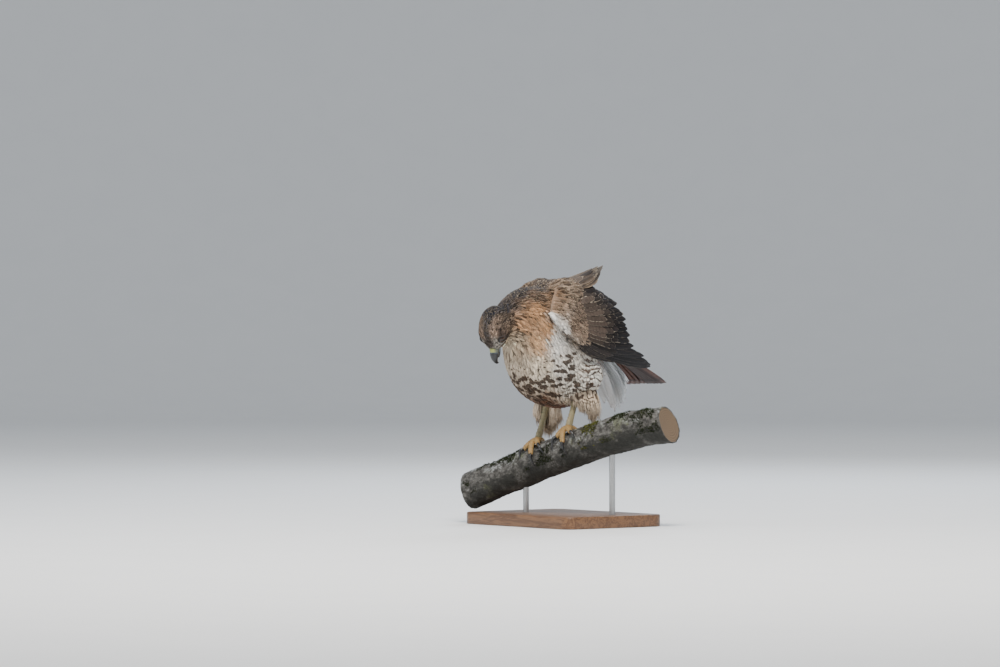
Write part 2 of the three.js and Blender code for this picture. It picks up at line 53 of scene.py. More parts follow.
class Reading:
    """A value in a finish. Sums on it add the shader's own maths."""

    def __init__(self, finish, socket):
        self.finish = finish
        self.socket = socket

    def worked(self, operation, *values):
        return self.finish.node("ShaderNodeMath", {"operation": operation}, dict(enumerate(values)))

    def __add__(self, other):
        return self.worked("ADD", self, other)

    def __sub__(self, other):
        return self.worked("SUBTRACT", self, other)

    def __mul__(self, other):
        return self.worked("MULTIPLY", self, other)

    def __abs__(self):
        return self.worked("ABSOLUTE", self)

    __radd__ = __add__
    __rmul__ = __mul__

    def wave(self):
        """Runs from 0 to 1 and back, once for each whole step of the value"""
        return self.worked("SINE", self * (2 * math.pi)) * 0.5 + 0.5

    def between(self, low, high):
        """0 at low and 1 at high, with soft ends; low may be the greater"""
        return self.finish.node(
            "ShaderNodeMapRange",
            {"interpolation_type": "SMOOTHSTEP"},
            {"Value": self, "From Min": low, "From Max": high},
        )


class Finish:
    """One material of the model, made of a shader and the readings that feed it"""

    def __init__(self, name, **fixed):
        self.material = bpy.data.materials.new(name)
        self.material.use_nodes = True
        self.tree = self.material.node_tree
        self.shader = self.tree.nodes["Principled BSDF"]
        for socket, value in fixed.items():
            self.shader.inputs[socket.replace("_", " ")].default_value = value

    def node(self, kind, settings=None, inputs=None, out=0):
        made = self.tree.nodes.new(kind)
        for key, value in (settings or {}).items():
            setattr(made, key, value)
        for key, value in (inputs or {}).items():
            if isinstance(value, Reading):
                self.tree.links.new(value.socket, made.inputs[key])
            else:
                made.inputs[key].default_value = value
        return Reading(self, made.outputs[out])

    def place(self, stretch=(1, 1, 1), turn=(0, 0, 0)):
        here = self.node("ShaderNodeTexCoord", out="Object")
        return self.node("ShaderNodeMapping", {}, {"Vector": here, "Scale": stretch, "Rotation": turn})

    def part_of(self, vector, axis):
        return self.node("ShaderNodeSeparateXYZ", {}, {0: vector}, axis)

    def attribute(self, name, out="Fac"):
        return self.node("ShaderNodeAttribute", {"attribute_name": name}, out=out)

    def grain(self, vector, scale, detail=3, roughness=0.55, distortion=0.0):
        return self.node("ShaderNodeTexNoise", {}, {
            "Vector": vector, "Scale": scale, "Detail": detail,
            "Roughness": roughness, "Distortion": distortion,
        })

    def cells(self, vector, scale, feature="DISTANCE_TO_EDGE"):
        place = {"Vector": vector, "Scale": scale}
        return self.node("ShaderNodeTexVoronoi", {"feature": feature}, place, "Distance")

    def tint(self, first, second, share):
        """The first colour where share is 0 and the second where it is 1"""
        return self.node(
            "ShaderNodeMix",
            {"data_type": "RGBA"},
            {
                "Factor": share,
                6: first if isinstance(first, Reading) else (*first, 1),
                7: second if isinstance(second, Reading) else (*second, 1),
            },
            2,
        )

    def feed(self, socket, reading):
        self.tree.links.new(reading.socket, self.shader.inputs[socket])

    def relief(self, height, depth):
        """Bump from a height of 0 to 1, depth in millimetres"""
        self.feed("Normal", self.node("ShaderNodeBump", {}, {"Distance": depth * MM, "Height": height}))


def put(name, body, finish, slot, *nodes):
    """Makes a finished bmesh, in metres, a piece of the model that stands for the CAD nodes"""
    mesh = bpy.data.meshes.new(name)
    body.to_mesh(mesh)
    body.free()
    mesh.shade_smooth()
    return put_mesh(name, mesh, finish, slot, *nodes)


def put_mesh(name, mesh, finish, slot, *nodes):
    made = bpy.data.objects.new(name, mesh)
    bpy.context.scene.collection.objects.link(made)
    mesh.materials.append(finish.material)
    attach(made, "root")
    if nodes:
        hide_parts(*nodes)
    return made


def round_over(body, edges, radius, steps):
    bmesh.ops.bevel(
        body, geom=edges, offset=radius * MM, offset_type="OFFSET",
        affect="EDGES", segments=steps, profile=0.5, material=-1,
    )


board = bmesh.new()
bmesh.ops.create_cube(board, size=1)
bmesh.ops.scale(board, vec=Vector((BASE_LENGTH, BASE_WIDTH, BASE_HEIGHT)) * MM, verts=board.verts)
bmesh.ops.translate(board, vec=(0, 0, BASE_HEIGHT * MM / 2), verts=board.verts)
upright = [e for e in board.edges if abs(e.verts[0].co.z - e.verts[1].co.z) > MM]
round_over(board, upright, BASE_CORNER, 12)
sharp = [e for e in board.edges if e.calc_face_angle(0) > SHARP_EDGE]
round_over(board, sharp, BASE_EASE, 3)

oiled_wood = Finish("oiled hardwood", Coat_Weight=0.12, Coat_Roughness=0.3)
lengthways = oiled_wood.place((1, 9, 9))
rings = oiled_wood.grain(lengthways, 9, 5, 0.6, 0.6)
pores = oiled_wood.grain(oiled_wood.place((4, 60, 60)), 22, 2)
figure = (rings * 5).wave()
wood_tint = oiled_wood.tint((0.1, 0.045, 0.02), (0.2, 0.1, 0.045), figure)
wood_tint = oiled_wood.tint(wood_tint, (0.04, 0.018, 0.009), pores.between(0.6, 0.75) * 0.7)
oiled_wood.feed("Base Color", wood_tint)
oiled_wood.feed("Roughness", 0.36 + pores * 0.2)
oiled_wood.relief(figure * 0.3 + pores * 0.5, 0.15)
put("base_board", board, oiled_wood, "stand_wood", "stand_base")

# Two short steel rods, brushed round their girth, hold the branch. They are pressed into holes
# in the board and in the branch's underside, so they stay as the frame gives them.
brushed_steel = Finish("brushed steel", Metallic=1.0)
brushing = brushed_steel.grain(brushed_steel.place((30, 30, 900)), 3, 2)
wear = brushed_steel.grain(brushed_steel.place(), 30, 3)
brushed_steel.feed("Base Color", brushed_steel.tint((0.36, 0.37, 0.38), (0.56, 0.56, 0.55), brushing))
brushed_steel.feed("Roughness", 0.26 + brushing * 0.16 + wear * 0.1)
brushed_steel.relief(brushing, 0.03)
for rod in ("stand_rod_1", "stand_rod_2"):
    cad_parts[rod].data.materials.clear()
    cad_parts[rod].data.materials.append(brushed_steel.material)

# The perch is a cut length of a grey, lichened branch that rests on the two rods. Its bark is
# wrinkled and lumpy and calmer under the bird's feet, and its two ends are sawn across.
BIRD_Y = -22
PERCH_TOP = 176
BRANCH_RADIUS = 37
BRANCH_TURN = math.radians(19)
BRANCH_RISE = math.radians(18.5)
BRANCH_LOW = -225
BRANCH_HIGH = 262
BARK_STEP = 1.9
KNOT_AT = 196
BEND_FROM = 120
STANCE = 38
SAW_EDGE = 2.5

branch_across = Vector((-math.sin(BRANCH_TURN), math.cos(BRANCH_TURN), 0))
branch_along = Vector((
    math.cos(BRANCH_TURN) * math.cos(BRANCH_RISE),
    math.sin(BRANCH_TURN) * math.cos(BRANCH_RISE),
    math.sin(BRANCH_RISE),
))
branch_up = branch_along.cross(branch_across)


def in_room(point):
    """From the bird's millimetres, which start between its feet, to the model's metres"""
    return Vector((point[0], point[1] + BIRD_Y, point[2] + PERCH_TOP)) * MM


def swell(value, at, wide):
    """1 where value is at its place, and down to 0 on both sides of it"""
    return math.exp(-(((value - at) / wide) ** 2))


def bark_radius(s, angle):
    """The branch's radius, s along it from the bird, at an angle round it from its top"""
    knot = 3.5 * swell(s, KNOT_AT, 22) * max(0, math.cos(angle - 0.6))
    waves = 1.1 * math.sin(s / 19 + 2 * angle) + 0.9 * math.sin(s / 41 - 3 * angle)
    return BRANCH_RADIUS + knot + waves * (1 - swell(s, 0, 70))


def bark_point(s, angle, height=0.0):
    bend = -5 * (s / 200) ** 2 - (0.0006 * (s - BEND_FROM) ** 2 if s > BEND_FROM else 0)
    radius = bark_radius(s, angle) + height
    return (
        branch_along * s
        + branch_up * (bend - BRANCH_RADIUS + radius * math.cos(angle))
        + branch_across * (radius * math.sin(angle))
    )


def bark_height(s, angle):
    """Wrinkles and scales of the bark, calmer under the feet"""
    at = bark_point(s, angle)
    stretched = Vector((at.dot(branch_along) * 0.45, at.dot(branch_across), at.dot(branch_up)))
    ridges = noise.ridged_multi_fractal(stretched * 0.085, 1.0, 2.1, 4, 1.0, 2.0) - 1.1
    scales = noise.fractal(at * 0.33, 0.7, 2.2, 3)
    under_foot = swell(abs(s), STANCE, 20) * max(0, math.cos(angle))
    return (1.1 * ridges + 0.7 * scales) * (1 - 0.75 * under_foot) - 0.4


around = int(2 * math.pi * BRANCH_RADIUS / BARK_STEP)
lengths = int((BRANCH_HIGH - BRANCH_LOW) / BARK_STEP)
branch = bmesh.new()
bmesh.ops.create_grid(branch, x_segments=lengths, y_segments=around, size=1)
for v in branch.verts:
    s = BRANCH_LOW + (v.co.x + 1) / 2 * (BRANCH_HIGH - BRANCH_LOW)
    angle = v.co.y * math.pi
    v.co = in_room(bark_point(s, angle, bark_height(s, angle)))
bmesh.ops.remove_doubles(branch, verts=branch.verts, dist=0.05 * MM)
rims = [e for e in branch.edges if e.is_boundary]
ends = bmesh.ops.holes_fill(branch, edges=rims, sides=0)["faces"]
bmesh.ops.inset_region(branch, faces=ends, thickness=SAW_EDGE * MM, depth=-0.5 * MM)
bmesh.ops.recalc_face_normals(branch, faces=branch.faces)
for face in branch.faces:
    face.material_index = 1 if len(face.verts) > 4 else 0

bark = Finish("mossy grey bark")
over = bark.place()
blotches = bark.grain(over, 26, 4, 0.6)
crust = bark.grain(over, 110, 4, 0.65)
cracks = bark.cells(bark.place((60, 150, 150), (0, -BRANCH_RISE, -BRANCH_TURN)), 1.2)
facing = bark.node("ShaderNodeNewGeometry", out="Normal")
upward = bark.part_of(facing, "Z")
bark_tint = bark.tint((0.028, 0.026, 0.023), (0.12, 0.115, 0.105), crust.between(0.35, 0.65))
lichen = blotches.between(0.46, 0.6) * upward.between(0.0, 0.8)
bark_tint = bark.tint(bark_tint, (0.36, 0.38, 0.38), lichen * crust.between(0.42, 0.6) * 0.8)
# The bark is darker in blotches on its underside, where it faces down.
dark_underside = upward.between(0.3, -0.35) * blotches.between(0.75, 0.4)
bark_tint = bark.tint(bark_tint, (0.012, 0.013, 0.010), dark_underside * 0.9)
green = bark.grain(over, 13, 4, 0.65).between(0.56, 0.68)
bark_tint = bark.tint(bark_tint, (0.07, 0.08, 0.022), green * crust.between(0.3, 0.6) * 0.8)
bark_tint = bark.tint(bark_tint, (0.02, 0.018, 0.015), cracks.between(0.09, 0.0) * 0.7)
bark.feed("Base Color", bark_tint)
bark.feed("Roughness", 0.8 + crust * 0.15)
bark.relief(crust * 0.6 + cracks.between(0, 0.12) * 0.4, 0.9)

sawn = Finish("sawn branch end")
middle = in_room(bark_point(BRANCH_HIGH, 0, -BRANCH_RADIUS))
from_pith = sawn.node("ShaderNodeVectorMath", {"operation": "SUBTRACT"}, {0: sawn.place(), 1: middle})
reach = sawn.node("ShaderNodeVectorMath", {"operation": "LENGTH"}, {0: from_pith}, "Value")
years = (reach * 210 + sawn.grain(sawn.place(), 40, 2) * 1.6).wave()
saw_marks = sawn.grain(sawn.place((8, 8, 260)), 4, 2)
ringed = sawn.tint((0.062, 0.04, 0.024), (0.2, 0.135, 0.08), years * 0.7 + saw_marks * 0.3)
sawn.feed("Base Color", ringed)
sawn.feed("Roughness", 0.75 + saw_marks * 0.15)
sawn.relief(saw_marks, 0.3)
perch = put("branch", branch, bark, "bark", "perch")
perch.data.materials.append(sawn.material)

# The bird's body is one skin with short down, from the crown to the heels. It is moulded in one
# piece over full forms, a coat's depth under the outline, and every small feather is set into it.
TORSO_CENTRE = (0, -10, 176)
TORSO_LONG, TORSO_DEEP, TORSO_WIDE = 126, 102, 78
TORSO_LEAN = math.radians(55)
SKULL_CENTRE = (3, -154, 212)
SKULL_LONG, SKULL_WIDE, SKULL_DEEP = 47, 34, 34
HEAD_TURN = math.radians(17)
HEAD_DROP = math.radians(84)
NECK_PATH = [(0, 2, 206), (1, -60, 226), (3, -108, 226), (5, -142, 213)]
NECK_RADII = [66, 80, 70, 49, 27]
MANTLE_PATH = [(0, -52, 262), (0, -10, 290), (0, 40, 268), (0, 84, 226)]
MANTLE_RADII = [30, 60, 66, 56, 26]
TARSUS = 80
HEEL_BACK = 24
DRUMSTICK_OUT = 46
DRUMSTICK_REACH = 46
DRUMSTICK_TOP = 96
SIDES = ((1, "left"), (-1, "right"))
BODY_COAT = 5.0
HEAD_COAT = 2.4
SKIN_STEP = 2.4
SKIN_SMOOTHINGS = 5

head_level = Vector((math.sin(HEAD_TURN), -math.cos(HEAD_TURN), 0))
head_ahead = head_level * math.cos(HEAD_DROP) + Vector((0, 0, -math.sin(HEAD_DROP)))
head_left = Vector((math.cos(HEAD_TURN), math.sin(HEAD_TURN), 0))
head_top = -head_left.cross(head_ahead).normalized()


def in_head(ahead, left, top):
    return Vector(SKULL_CENTRE) + head_ahead * ahead + head_left * left + head_top * top


def even(values, t):
    """A value along a list of even steps"""
    return float(np.interp(t * (len(values) - 1), range(len(values)), values))


def curve_point(points, t):
    """A smooth curve through points and its heading, at t from 0 to 1"""
    marks = [Vector(p) for p in points]
    marks = [2 * marks[0] - marks[1], *marks, 2 * marks[-1] - marks[-2]]
    step = min(int(t * (len(points) - 1)), len(points) - 2)
    share = t * (len(points) - 1) - step
    a, b, c, d = marks[step:step + 4]
    before, within, after = ((q - p).length ** 0.5 for p, q in ((a, b), (b, c), (c, d)))
    leave = ((b - a) / before - (c - a) / (before + within) + (c - b) / within) * within
    arrive = ((c - b) / within - (d - b) / (within + after) + (d - c) / after) * within
    third = 2 * b - 2 * c + leave + arrive
    second = 3 * c - 3 * b - 2 * leave - arrive
    place = ((third * share + second) * share + leave) * share + b
    heading = (3 * third * share + 2 * second) * share + leave
    return place, heading.normalized()


def rounded(rings, sides, place):
    """A ball whose rings go where place(along 0 to 1, angle) puts them"""
    body = bmesh.new()
    bmesh.ops.create_uvsphere(body, u_segments=sides, v_segments=rings, radius=1)
    for v in body.verts:
        t = math.acos(max(-1, min(1, v.co.z))) / math.pi
        v.co = place(t, math.atan2(v.co.y, v.co.x))
    bmesh.ops.recalc_face_normals(body, faces=body.faces)
    return body


def limb(points, radii, rings, sides, up=(0, 0, 1), flat=1.0, grow=0.0, plate=None):
    """A round limb along points, deep towards up"""
    def place(t, angle):
        middle, heading = curve_point(points, t)
        closing = math.sqrt(max(0, 1 - abs(2 * t - 1) ** 10))
        radius = (even(radii, t) + grow) * closing
        if plate:
            radius += plate(t, angle) * closing
        side = heading.cross(Vector(up)).normalized()
        top = side.cross(heading).normalized()
        spread = side * radius * math.cos(angle) + top * radius * flat * math.sin(angle)
        return middle + heading * grow * (2 * t - 1) + spread

    return rounded(rings, sides, place)


def torso_place(t, angle):
    lift, ring = math.cos(t * math.pi), math.sin(t * math.pi)
    breast = max(0, math.cos(angle))
    full = 1 + 0.1 * breast ** 2 * swell(lift, -0.25, 0.55)
    flat_back = 1 - 0.1 * max(0, -math.cos(angle)) * ring
    narrow = 1 - 0.12 * float(np.clip((-lift - 0.2) / 0.8, 0, 1)) ** 2
    upright = Vector((0, -math.cos(TORSO_LEAN), math.sin(TORSO_LEAN)))
    forward = Vector((0, -math.sin(TORSO_LEAN), -math.cos(TORSO_LEAN)))
    return (
        Vector(TORSO_CENTRE)
        + upright * (TORSO_LONG - BODY_COAT) * lift
        + forward * (TORSO_DEEP - BODY_COAT) * ring * math.cos(angle) * full * flat_back
        + Vector((1, 0, 0)) * (TORSO_WIDE - BODY_COAT) * ring * math.sin(angle) * narrow
    )


def skull_place(t, angle):
    ahead, ring = math.cos(t * math.pi), math.sin(t * math.pi)
    side, rise = math.cos(angle), math.sin(angle)
    taper = 1 - 0.42 * ahead ** 2.2 if ahead > 0 else 1
    brow = 4.4 * math.exp(-(((ahead - 0.4) / 0.26) ** 2) - ((rise - 0.52) / 0.14) ** 2)
    socket = -3.6 * math.exp(-(((ahead - 0.44) / 0.2) ** 2) - ((rise - 0.22) / 0.17) ** 2)
    wide = (SKULL_WIDE - HEAD_COAT) * ring * taper * side + math.copysign(brow + socket, side)
    deep = (SKULL_DEEP - HEAD_COAT) * ring * taper * (0.92 if rise > 0 else 0.98) * rise
    return in_head((SKULL_LONG - HEAD_COAT) * ahead - 5, wide, deep - 2 * ahead)


def wing_face(y, z):
    """The wing's outer face over a point of the side view, out from the bird's middle"""
    return 90 - 0.00073 * y * y - 0.00296 * (z - 200) ** 2


def wing_point(side, y, z, level):
    return Vector((side * (wing_face(y, z) + level), y, z))


WING_FRONT = (-84, 250)
WING_DOME = (62, 199)
DOME_TOP = [0, 58, 78, 88, 88, 80, 66, 44, 0]
DOME_LOW = [0, 12, 19, 26, 32, 35, 34, 24, 0]
DOME_THICK = [0, 7, 9, 10, 10, 9, 8, 6, 0]
wing_spine = (Vector(WING_DOME) - Vector(WING_FRONT)).normalized()


def arm(side):
    def place(t, angle):
        rise = even(DOME_TOP if math.sin(angle) > 0 else DOME_LOW, t) * math.sin(angle)
        flat = Vector(WING_FRONT).lerp(Vector(WING_DOME), t)
        level = (even(DOME_THICK, t) - 2.5) * math.cos(angle)
        return wing_point(side, flat.x - wing_spine.y * rise, flat.y + wing_spine.x * rise, level)

    return rounded(40, 48, place)


def foot_place(side):
    return bark_point(side * STANCE, 0, 9)


def heel_place(side):
    return foot_place(side) + Vector((0, HEEL_BACK, math.sqrt(TARSUS ** 2 - HEEL_BACK ** 2)))


def drumstick(side):
    heel = heel_place(side)
    path = [
        (side * 28, heel.y - 16, 170), (side * DRUMSTICK_OUT, heel.y + 2, 116),
        (side * DRUMSTICK_OUT, heel.y + 7, heel.z + 8), (side * 42, heel.y + 6, heel.z - 20),
    ]
    return limb(path, [24, 42, 41, 28, 11], 40, 40, (0, -1, 0.2), 1.12, -BODY_COAT)


def join_forms(forms):
    joined = bmesh.new()
    for form in forms:
        part = bpy.data.meshes.new("form")
        form.to_mesh(part)
        form.free()
        joined.from_mesh(part)
        bpy.data.meshes.remove(part)
    return joined


def to_room(body):
    for v in body.verts:
        v.co = in_room(v.co)
    return body


forms = [
    rounded(48, 64, torso_place),
    limb(NECK_PATH, NECK_RADII, 48, 64, (0, -0.4, 1), 1.04, -BODY_COAT),
    rounded(48, 64, skull_place),
    limb(MANTLE_PATH, MANTLE_RADII, 32, 48, (0, 0.3, 1), 0.4, -BODY_COAT * 0.6),
    limb([(0, 66, 219), (0, 92, 206), (-9, 132, 180)], [20, 24, 20, 10], 24, 32, (0, 0.5, 1), 0.42),
    limb([(0, 76, 176), (0, 106, 160), (-1, 128, 128)], [18, 25, 18], 24, 32, (0, 1, 0.4), 0.6, -4),
]
for side in (1, -1):
    forms += [arm(side), drumstick(side)]
    pad = [(side * 32, -44, 294), (side * 44, -6, 306), (side * 46, 28, 302 + 2 * (side + 1))]
    forms.append(limb(pad, [14, 24, 22, 12], 24, 32, (side * 0.45, 0, 1), 0.42, -3))

rough = join_forms(forms)
rough_mesh = bpy.data.meshes.new("skin_mould")
rough.to_mesh(rough_mesh)
rough.free()
moulded = bpy.data.objects.new("skin_mould", rough_mesh)
bpy.context.scene.collection.objects.link(moulded)
remesh = moulded.modifiers.new("one skin", "REMESH")
remesh.mode = "VOXEL"
remesh.voxel_size = SKIN_STEP
skin = bmesh.new()
skin.from_object(moulded, bpy.context.evaluated_depsgraph_get())
bpy.data.objects.remove(moulded)
for _ in range(SKIN_SMOOTHINGS):
    bmesh.ops.smooth_vert(
        skin, verts=skin.verts, factor=0.5, use_axis_x=True, use_axis_y=True, use_axis_z=True,
    )
bmesh.ops.triangulate(skin, faces=skin.faces)
skin.normal_update()
skin_tree = BVHTree.FromBMesh(skin)

# Small soft feathers cover the skin in tracts, each with its own lie, size and markings, and one
# tract runs into the next. Every feather is a solid vane with its root sunk in the skin.

# Each tract has its place and lie on the left side, which for the head are ahead, left and up,
# then length, width, spacing, colour, streak, spots, bars, pale edge and how closely it clings.
HEAD_TRACTS = [
    ((34, 12, 8), (-1, 0.5, 0.2), 4.5, 2.2, 1.6, (0.34, 0.31, 0.27), 0.2, 0, 0, 0, 1),
    ((27, 16, 5), (-1, 0.3, 0.1), 5, 2.4, 1.7, (0.38, 0.35, 0.31), 0.3, 0, 0, 0, 1),
    ((32, 0, 15), (-1, 0, 0.3), 5.5, 2.6, 1.8, (0.07, 0.055, 0.048), 0.5, 0, 0, 0.2, 1),
    ((16, 17, 26), (-1, 0.1, 0.1), 7, 3.2, 2.2, (0.26, 0.185, 0.14), 0.7, 0, 0, 0.5, 1),
    ((16, 0, 31), (-1, 0, 0), 7.5, 3.2, 2.2, (0.042, 0.04, 0.044), 0.6, 0, 0, 0.4, 1),
    ((-8, 20, 27), (-1, 0, 0), 9, 3.8, 2.5, (0.16, 0.115, 0.09), 0.7, 0, 0, 0.5, 1),
    # The back of the head is dark brown, painted darker and bluish as shade.
    ((-10, 2, 34), (-1, 0, 0), 9, 3.8, 2.5, (0.022, 0.026, 0.036), 0.5, 0, 0, 0.6, 1),
    ((-32, 8, 26), (-1, 0, -0.6), 11, 4.4, 2.8, (0.015, 0.018, 0.027), 0.4, 0, 0, 0.5, 1),
    ((-42, 14, 0), (-0.8, 0, -1), 13, 5, 3.0, (0.02, 0.022, 0.03), 0.4, 0, 0, 0.4, 1),
    ((14, 30, 14), (-1, 0, 0.2), 5, 2.4, 1.8, (0.06, 0.042, 0.034), 0.5, 0, 0, 0.1, 1),
    ((15, 31, 2), (-1, 0, 0), 5, 2.4, 1.8, (0.05, 0.036, 0.03), 0.5, 0, 0, 0.1, 1),
    ((26, 19, -8), (-1, 0.2, -0.2), 6, 2.6, 2.0, (0.13, 0.10, 0.08), 0.5, 0, 0, 0.1, 1),
    ((6, 33, -6), (-1, 0, -0.2), 8, 3.4, 2.3, (0.10, 0.068, 0.05), 0.9, 0, 0, 0.3, 1),
    ((-18, 32, 2), (-1, 0, -0.5), 10, 4.2, 2.6, (0.075, 0.055, 0.046), 0.9, 0, 0, 0.5, 1),
    ((-8, 20, -28), (-1, 0.2, -0.6), 10, 4, 2.8, (0.30, 0.20, 0.13), 0.5, 0, 0, 0.2, 1),
    ((20, 0, -24), (-1, 0, -0.2), 9, 3.6, 2.6, (0.60, 0.50, 0.37), 0.2, 0, 0, 0.2, 1),
]
BODY_TRACTS = [
    # The nape is dark brown, painted darker and bluish as shade.
    ((12, -108, 288), (0.1, 1, 0.15), 17, 6.5, 3.6, (0.026, 0.028, 0.036), 0.4, 0, 0, 0.8, 1),
    ((14, -70, 304), (0.1, 1, 0.15), 19, 7.5, 3.9, (0.045, 0.04, 0.042), 0.4, 0, 0, 1.0, 1),
    ((40, -98, 278), (0.4, 1, -0.2), 19, 6.5, 3.8, (0.14, 0.09, 0.062), 0.9, 0, 0, 0.8, 1),
    ((54, -100, 258), (0.5, 1, -0.5), 19, 6.5, 3.8, (0.46, 0.25, 0.125), 0.6, 0, 0, 0.5, 1),
    ((56, -62, 284), (0.4, 1, -0.3), 20, 7, 3.9, (0.27, 0.165, 0.1), 0.8, 0, 0, 0.8, 1),
    ((70, -84, 232), (0.4, 0.8, -0.8), 21, 6.5, 3.8, (0.62, 0.34, 0.17), 0.4, 0, 0, 0.5, 1),
    ((44, -128, 224), (0.6, 0.6, -0.8), 17, 6, 3.5, (0.46, 0.26, 0.14), 0.4, 0, 0, 0.3, 1),
    ((62, -100, 196), (0.5, 0.6, -1), 21, 6.5, 3.8, (0.72, 0.43, 0.235), 0.3, 0, 0, 0.4, 1),
    ((26, -134, 192), (0.3, 0.1, -1), 18, 6, 3.6, (0.66, 0.5, 0.34), 0.3, 0, 0, 0.2, 1),
    # A pale line of throat feathers runs from the chin to the breast, and the darker brown tract under it is
    # painted shadow beneath that ridge.
    ((27, -133, 187), (0.5, 0.3, -0.7), 17, 4.8, 2.9, (0.86, 0.74, 0.56), 0.1, 0, 0, 0, 0.9),
    ((28, -127, 175), (0.15, 0.2, -1), 17, 5, 3.2, (0.30, 0.21, 0.145), 0.4, 0, 0, 0, 1),
    # The breast under the head is buff, painted darker as the head's shadow.
    ((30, -122, 160), (0.1, 0.2, -1), 23, 7, 3.8, (0.54, 0.46, 0.36), 0.1, 0.2, 0, 0, 1),
    ((0, -122, 140), (0, 0.2, -1), 23, 7, 3.8, (0.56, 0.47, 0.37), 0.1, 0.95, 0, 0, 1),
    # The belly band's dark spots are its own, and its darker base colour is partly painted shade.
    ((10, -116, 122), (0, 0.5, -1), 24, 7.5, 4.1, (0.46, 0.38, 0.3), 0, 1.3, 0, 0, 1),
    ((34, -96, 103), (0, 0.6, -0.9), 25, 8, 4.2, (0.44, 0.36, 0.28), 0, 1.25, 0, 0, 1),
    ((58, -94, 152), (0.2, 0.5, -1), 25, 7.5, 4.1, (0.78, 0.67, 0.52), 0, 0.55, 0, 0, 1),
    ((80, -66, 196), (0.2, 0.7, -1), 24, 7.5, 4.1, (0.88, 0.85, 0.8), 0, 0.5, 0, 0, 1),
    ((76, -44, 152), (0.1, 0.7, -1), 26, 8.5, 4.3, (0.86, 0.81, 0.73), 0, 1.05, 0, 0, 1),
    ((52, -84, 122), (0, 0.6, -1), 25, 8, 4.3, (0.74, 0.66, 0.54), 0, 1.0, 0, 0, 1),
    # More of the belly band, its darker base colour partly painted shade.
    ((16, -100, 96), (0, 0.6, -0.9), 25, 8, 4.3, (0.36, 0.28, 0.21), 0, 1.2, 0, 0, 1),
    ((46, -66, 86), (0, 0.8, -0.7), 25, 9, 4.4, (0.4, 0.3, 0.22), 0, 1.2, 0, 0, 1),
    # The lower belly is red brown, painted about half as bright as shade.
    ((18, -58, 74), (0, 0.9, -0.5), 25, 9, 4.4, (0.14, 0.066, 0.038), 0, 1.0, 0, 0, 1),
    ((20, -14, 58), (0, 1, -0.4), 26, 9, 4.6, (0.13, 0.05, 0.028), 0.3, 0.5, 0, 0, 0.8),
    ((16, 40, 58), (0, 1, -0.2), 28, 8, 4.8, (0.66, 0.60, 0.52), 0.1, 0, 0, 0, 0.8),
    ((74, -14, 124), (0, 0.6, -1), 28, 9.5, 4.5, (0.84, 0.79, 0.7), 0, 1.05, 0.6, 0, 1),
    ((80, 26, 150), (0, 0.7, -1), 28, 9.5, 4.6, (0.84, 0.80, 0.73), 0, 0.45, 0.95, 0, 1),
    ((80, 10, 96), (0.1, 0.35, -1), 29, 9.5, 4.5, (0.84, 0.77, 0.66), 0, 0.1, 1.3, 0, 0.95),
    ((76, 28, 66), (0.1, 0.3, -1), 30, 8, 4.2, (0.82, 0.72, 0.58), 0, 0, 1.1, 0, 0.85),
    ((46, 50, 62), (0, 0.3, -1), 32, 7.5, 4.2, (0.78, 0.66, 0.5), 0, 0, 0.7, 0, 0.6),
    ((72, -2, 52), (0.1, 0.1, -1), 28, 6.5, 3.9, (0.78, 0.64, 0.49), 0, 0, 0.6, 0, 0.7),
    ((46, -14, 60), (0, 0, -1), 24, 6, 3.8, (0.74, 0.6, 0.45), 0, 0, 0.1, 0, 0.8),
    ((42, 26, 30), (0, 0.2, -1), 22, 4.5, 3.2, (0.72, 0.58, 0.43), 0, 0, 0, 0, 0.8),
    ((0, -20, 314), (0, 1, -0.1), 23, 10, 4.6, (0.055, 0.045, 0.042), 0.3, 0, 0, 1.0, 1),
    ((0, 40, 292), (0, 1, -0.4), 26, 12, 5.2, (0.06, 0.045, 0.038), 0.3, 0, 0, 0.9, 1),
    ((30, 84, 236), (0, 1, -0.8), 26, 11, 5, (0.075, 0.05, 0.038), 0.2, 0, 0, 0.7, 1),
    ((0, 120, 200), (-0.1, 1, -0.55), 26, 11, 5, (0.2, 0.1, 0.06), 0.2, 0, 0.2, 0.7, 1),
    ((58, -30, 300), (0.3, 1, 0.1), 20, 8.5, 4.2, (0.20, 0.145, 0.105), 0.4, 0, 0, 1.0, 1),
    ((56, 18, 302), (0.3, 1, 0.1), 22, 9.5, 4.4, (0.15, 0.11, 0.082), 0.3, 0, 0, 1.0, 1),
    ((78, -66, 256), (0.2, 1, -0.5), 12, 5.5, 3.2, (0.25, 0.165, 0.11), 0.5, 0, 0, 0.9, 1),
    ((82, -76, 238), (0.2, 0.7, -1), 17, 6, 3.5, (0.88, 0.85, 0.8), 0, 0.3, 0, 0, 1),
    ((88, -60, 214), (0.1, 0.7, -1), 18, 6.5, 3.6, (0.86, 0.82, 0.76), 0, 0.5, 0, 0, 1),
    ((92, -30, 226), (0, 1, -0.55), 12, 6, 3.3, (0.19, 0.13, 0.095), 0.5, 0, 0, 1.2, 1),
    ((96, 8, 208), (0, 1, -0.5), 14, 7, 3.6, (0.27, 0.19, 0.14), 0.5, 0, 0, 1.4, 1),
    ((86, 0, 262), (0, 1, -0.35), 13, 6.5, 3.5, (0.12, 0.085, 0.066), 0.6, 0, 0, 1.3, 1),
    ((90, 46, 236), (0, 1, -0.55), 16, 8.5, 4.0, (0.09, 0.065, 0.05), 0.6, 0, 0, 1.4, 1),
    ((22, 122, 138), (0, 0.7, -0.9), 32, 10, 4.8, (0.86, 0.87, 0.88), 0, 0, 0, 0, 0.6),
]


def numbers(vectors):
    return np.array([tuple(vector) for vector in vectors])


def unit(vectors):
    return vectors / np.maximum(np.linalg.norm(vectors, axis=-1, keepdims=True), 1e-9)


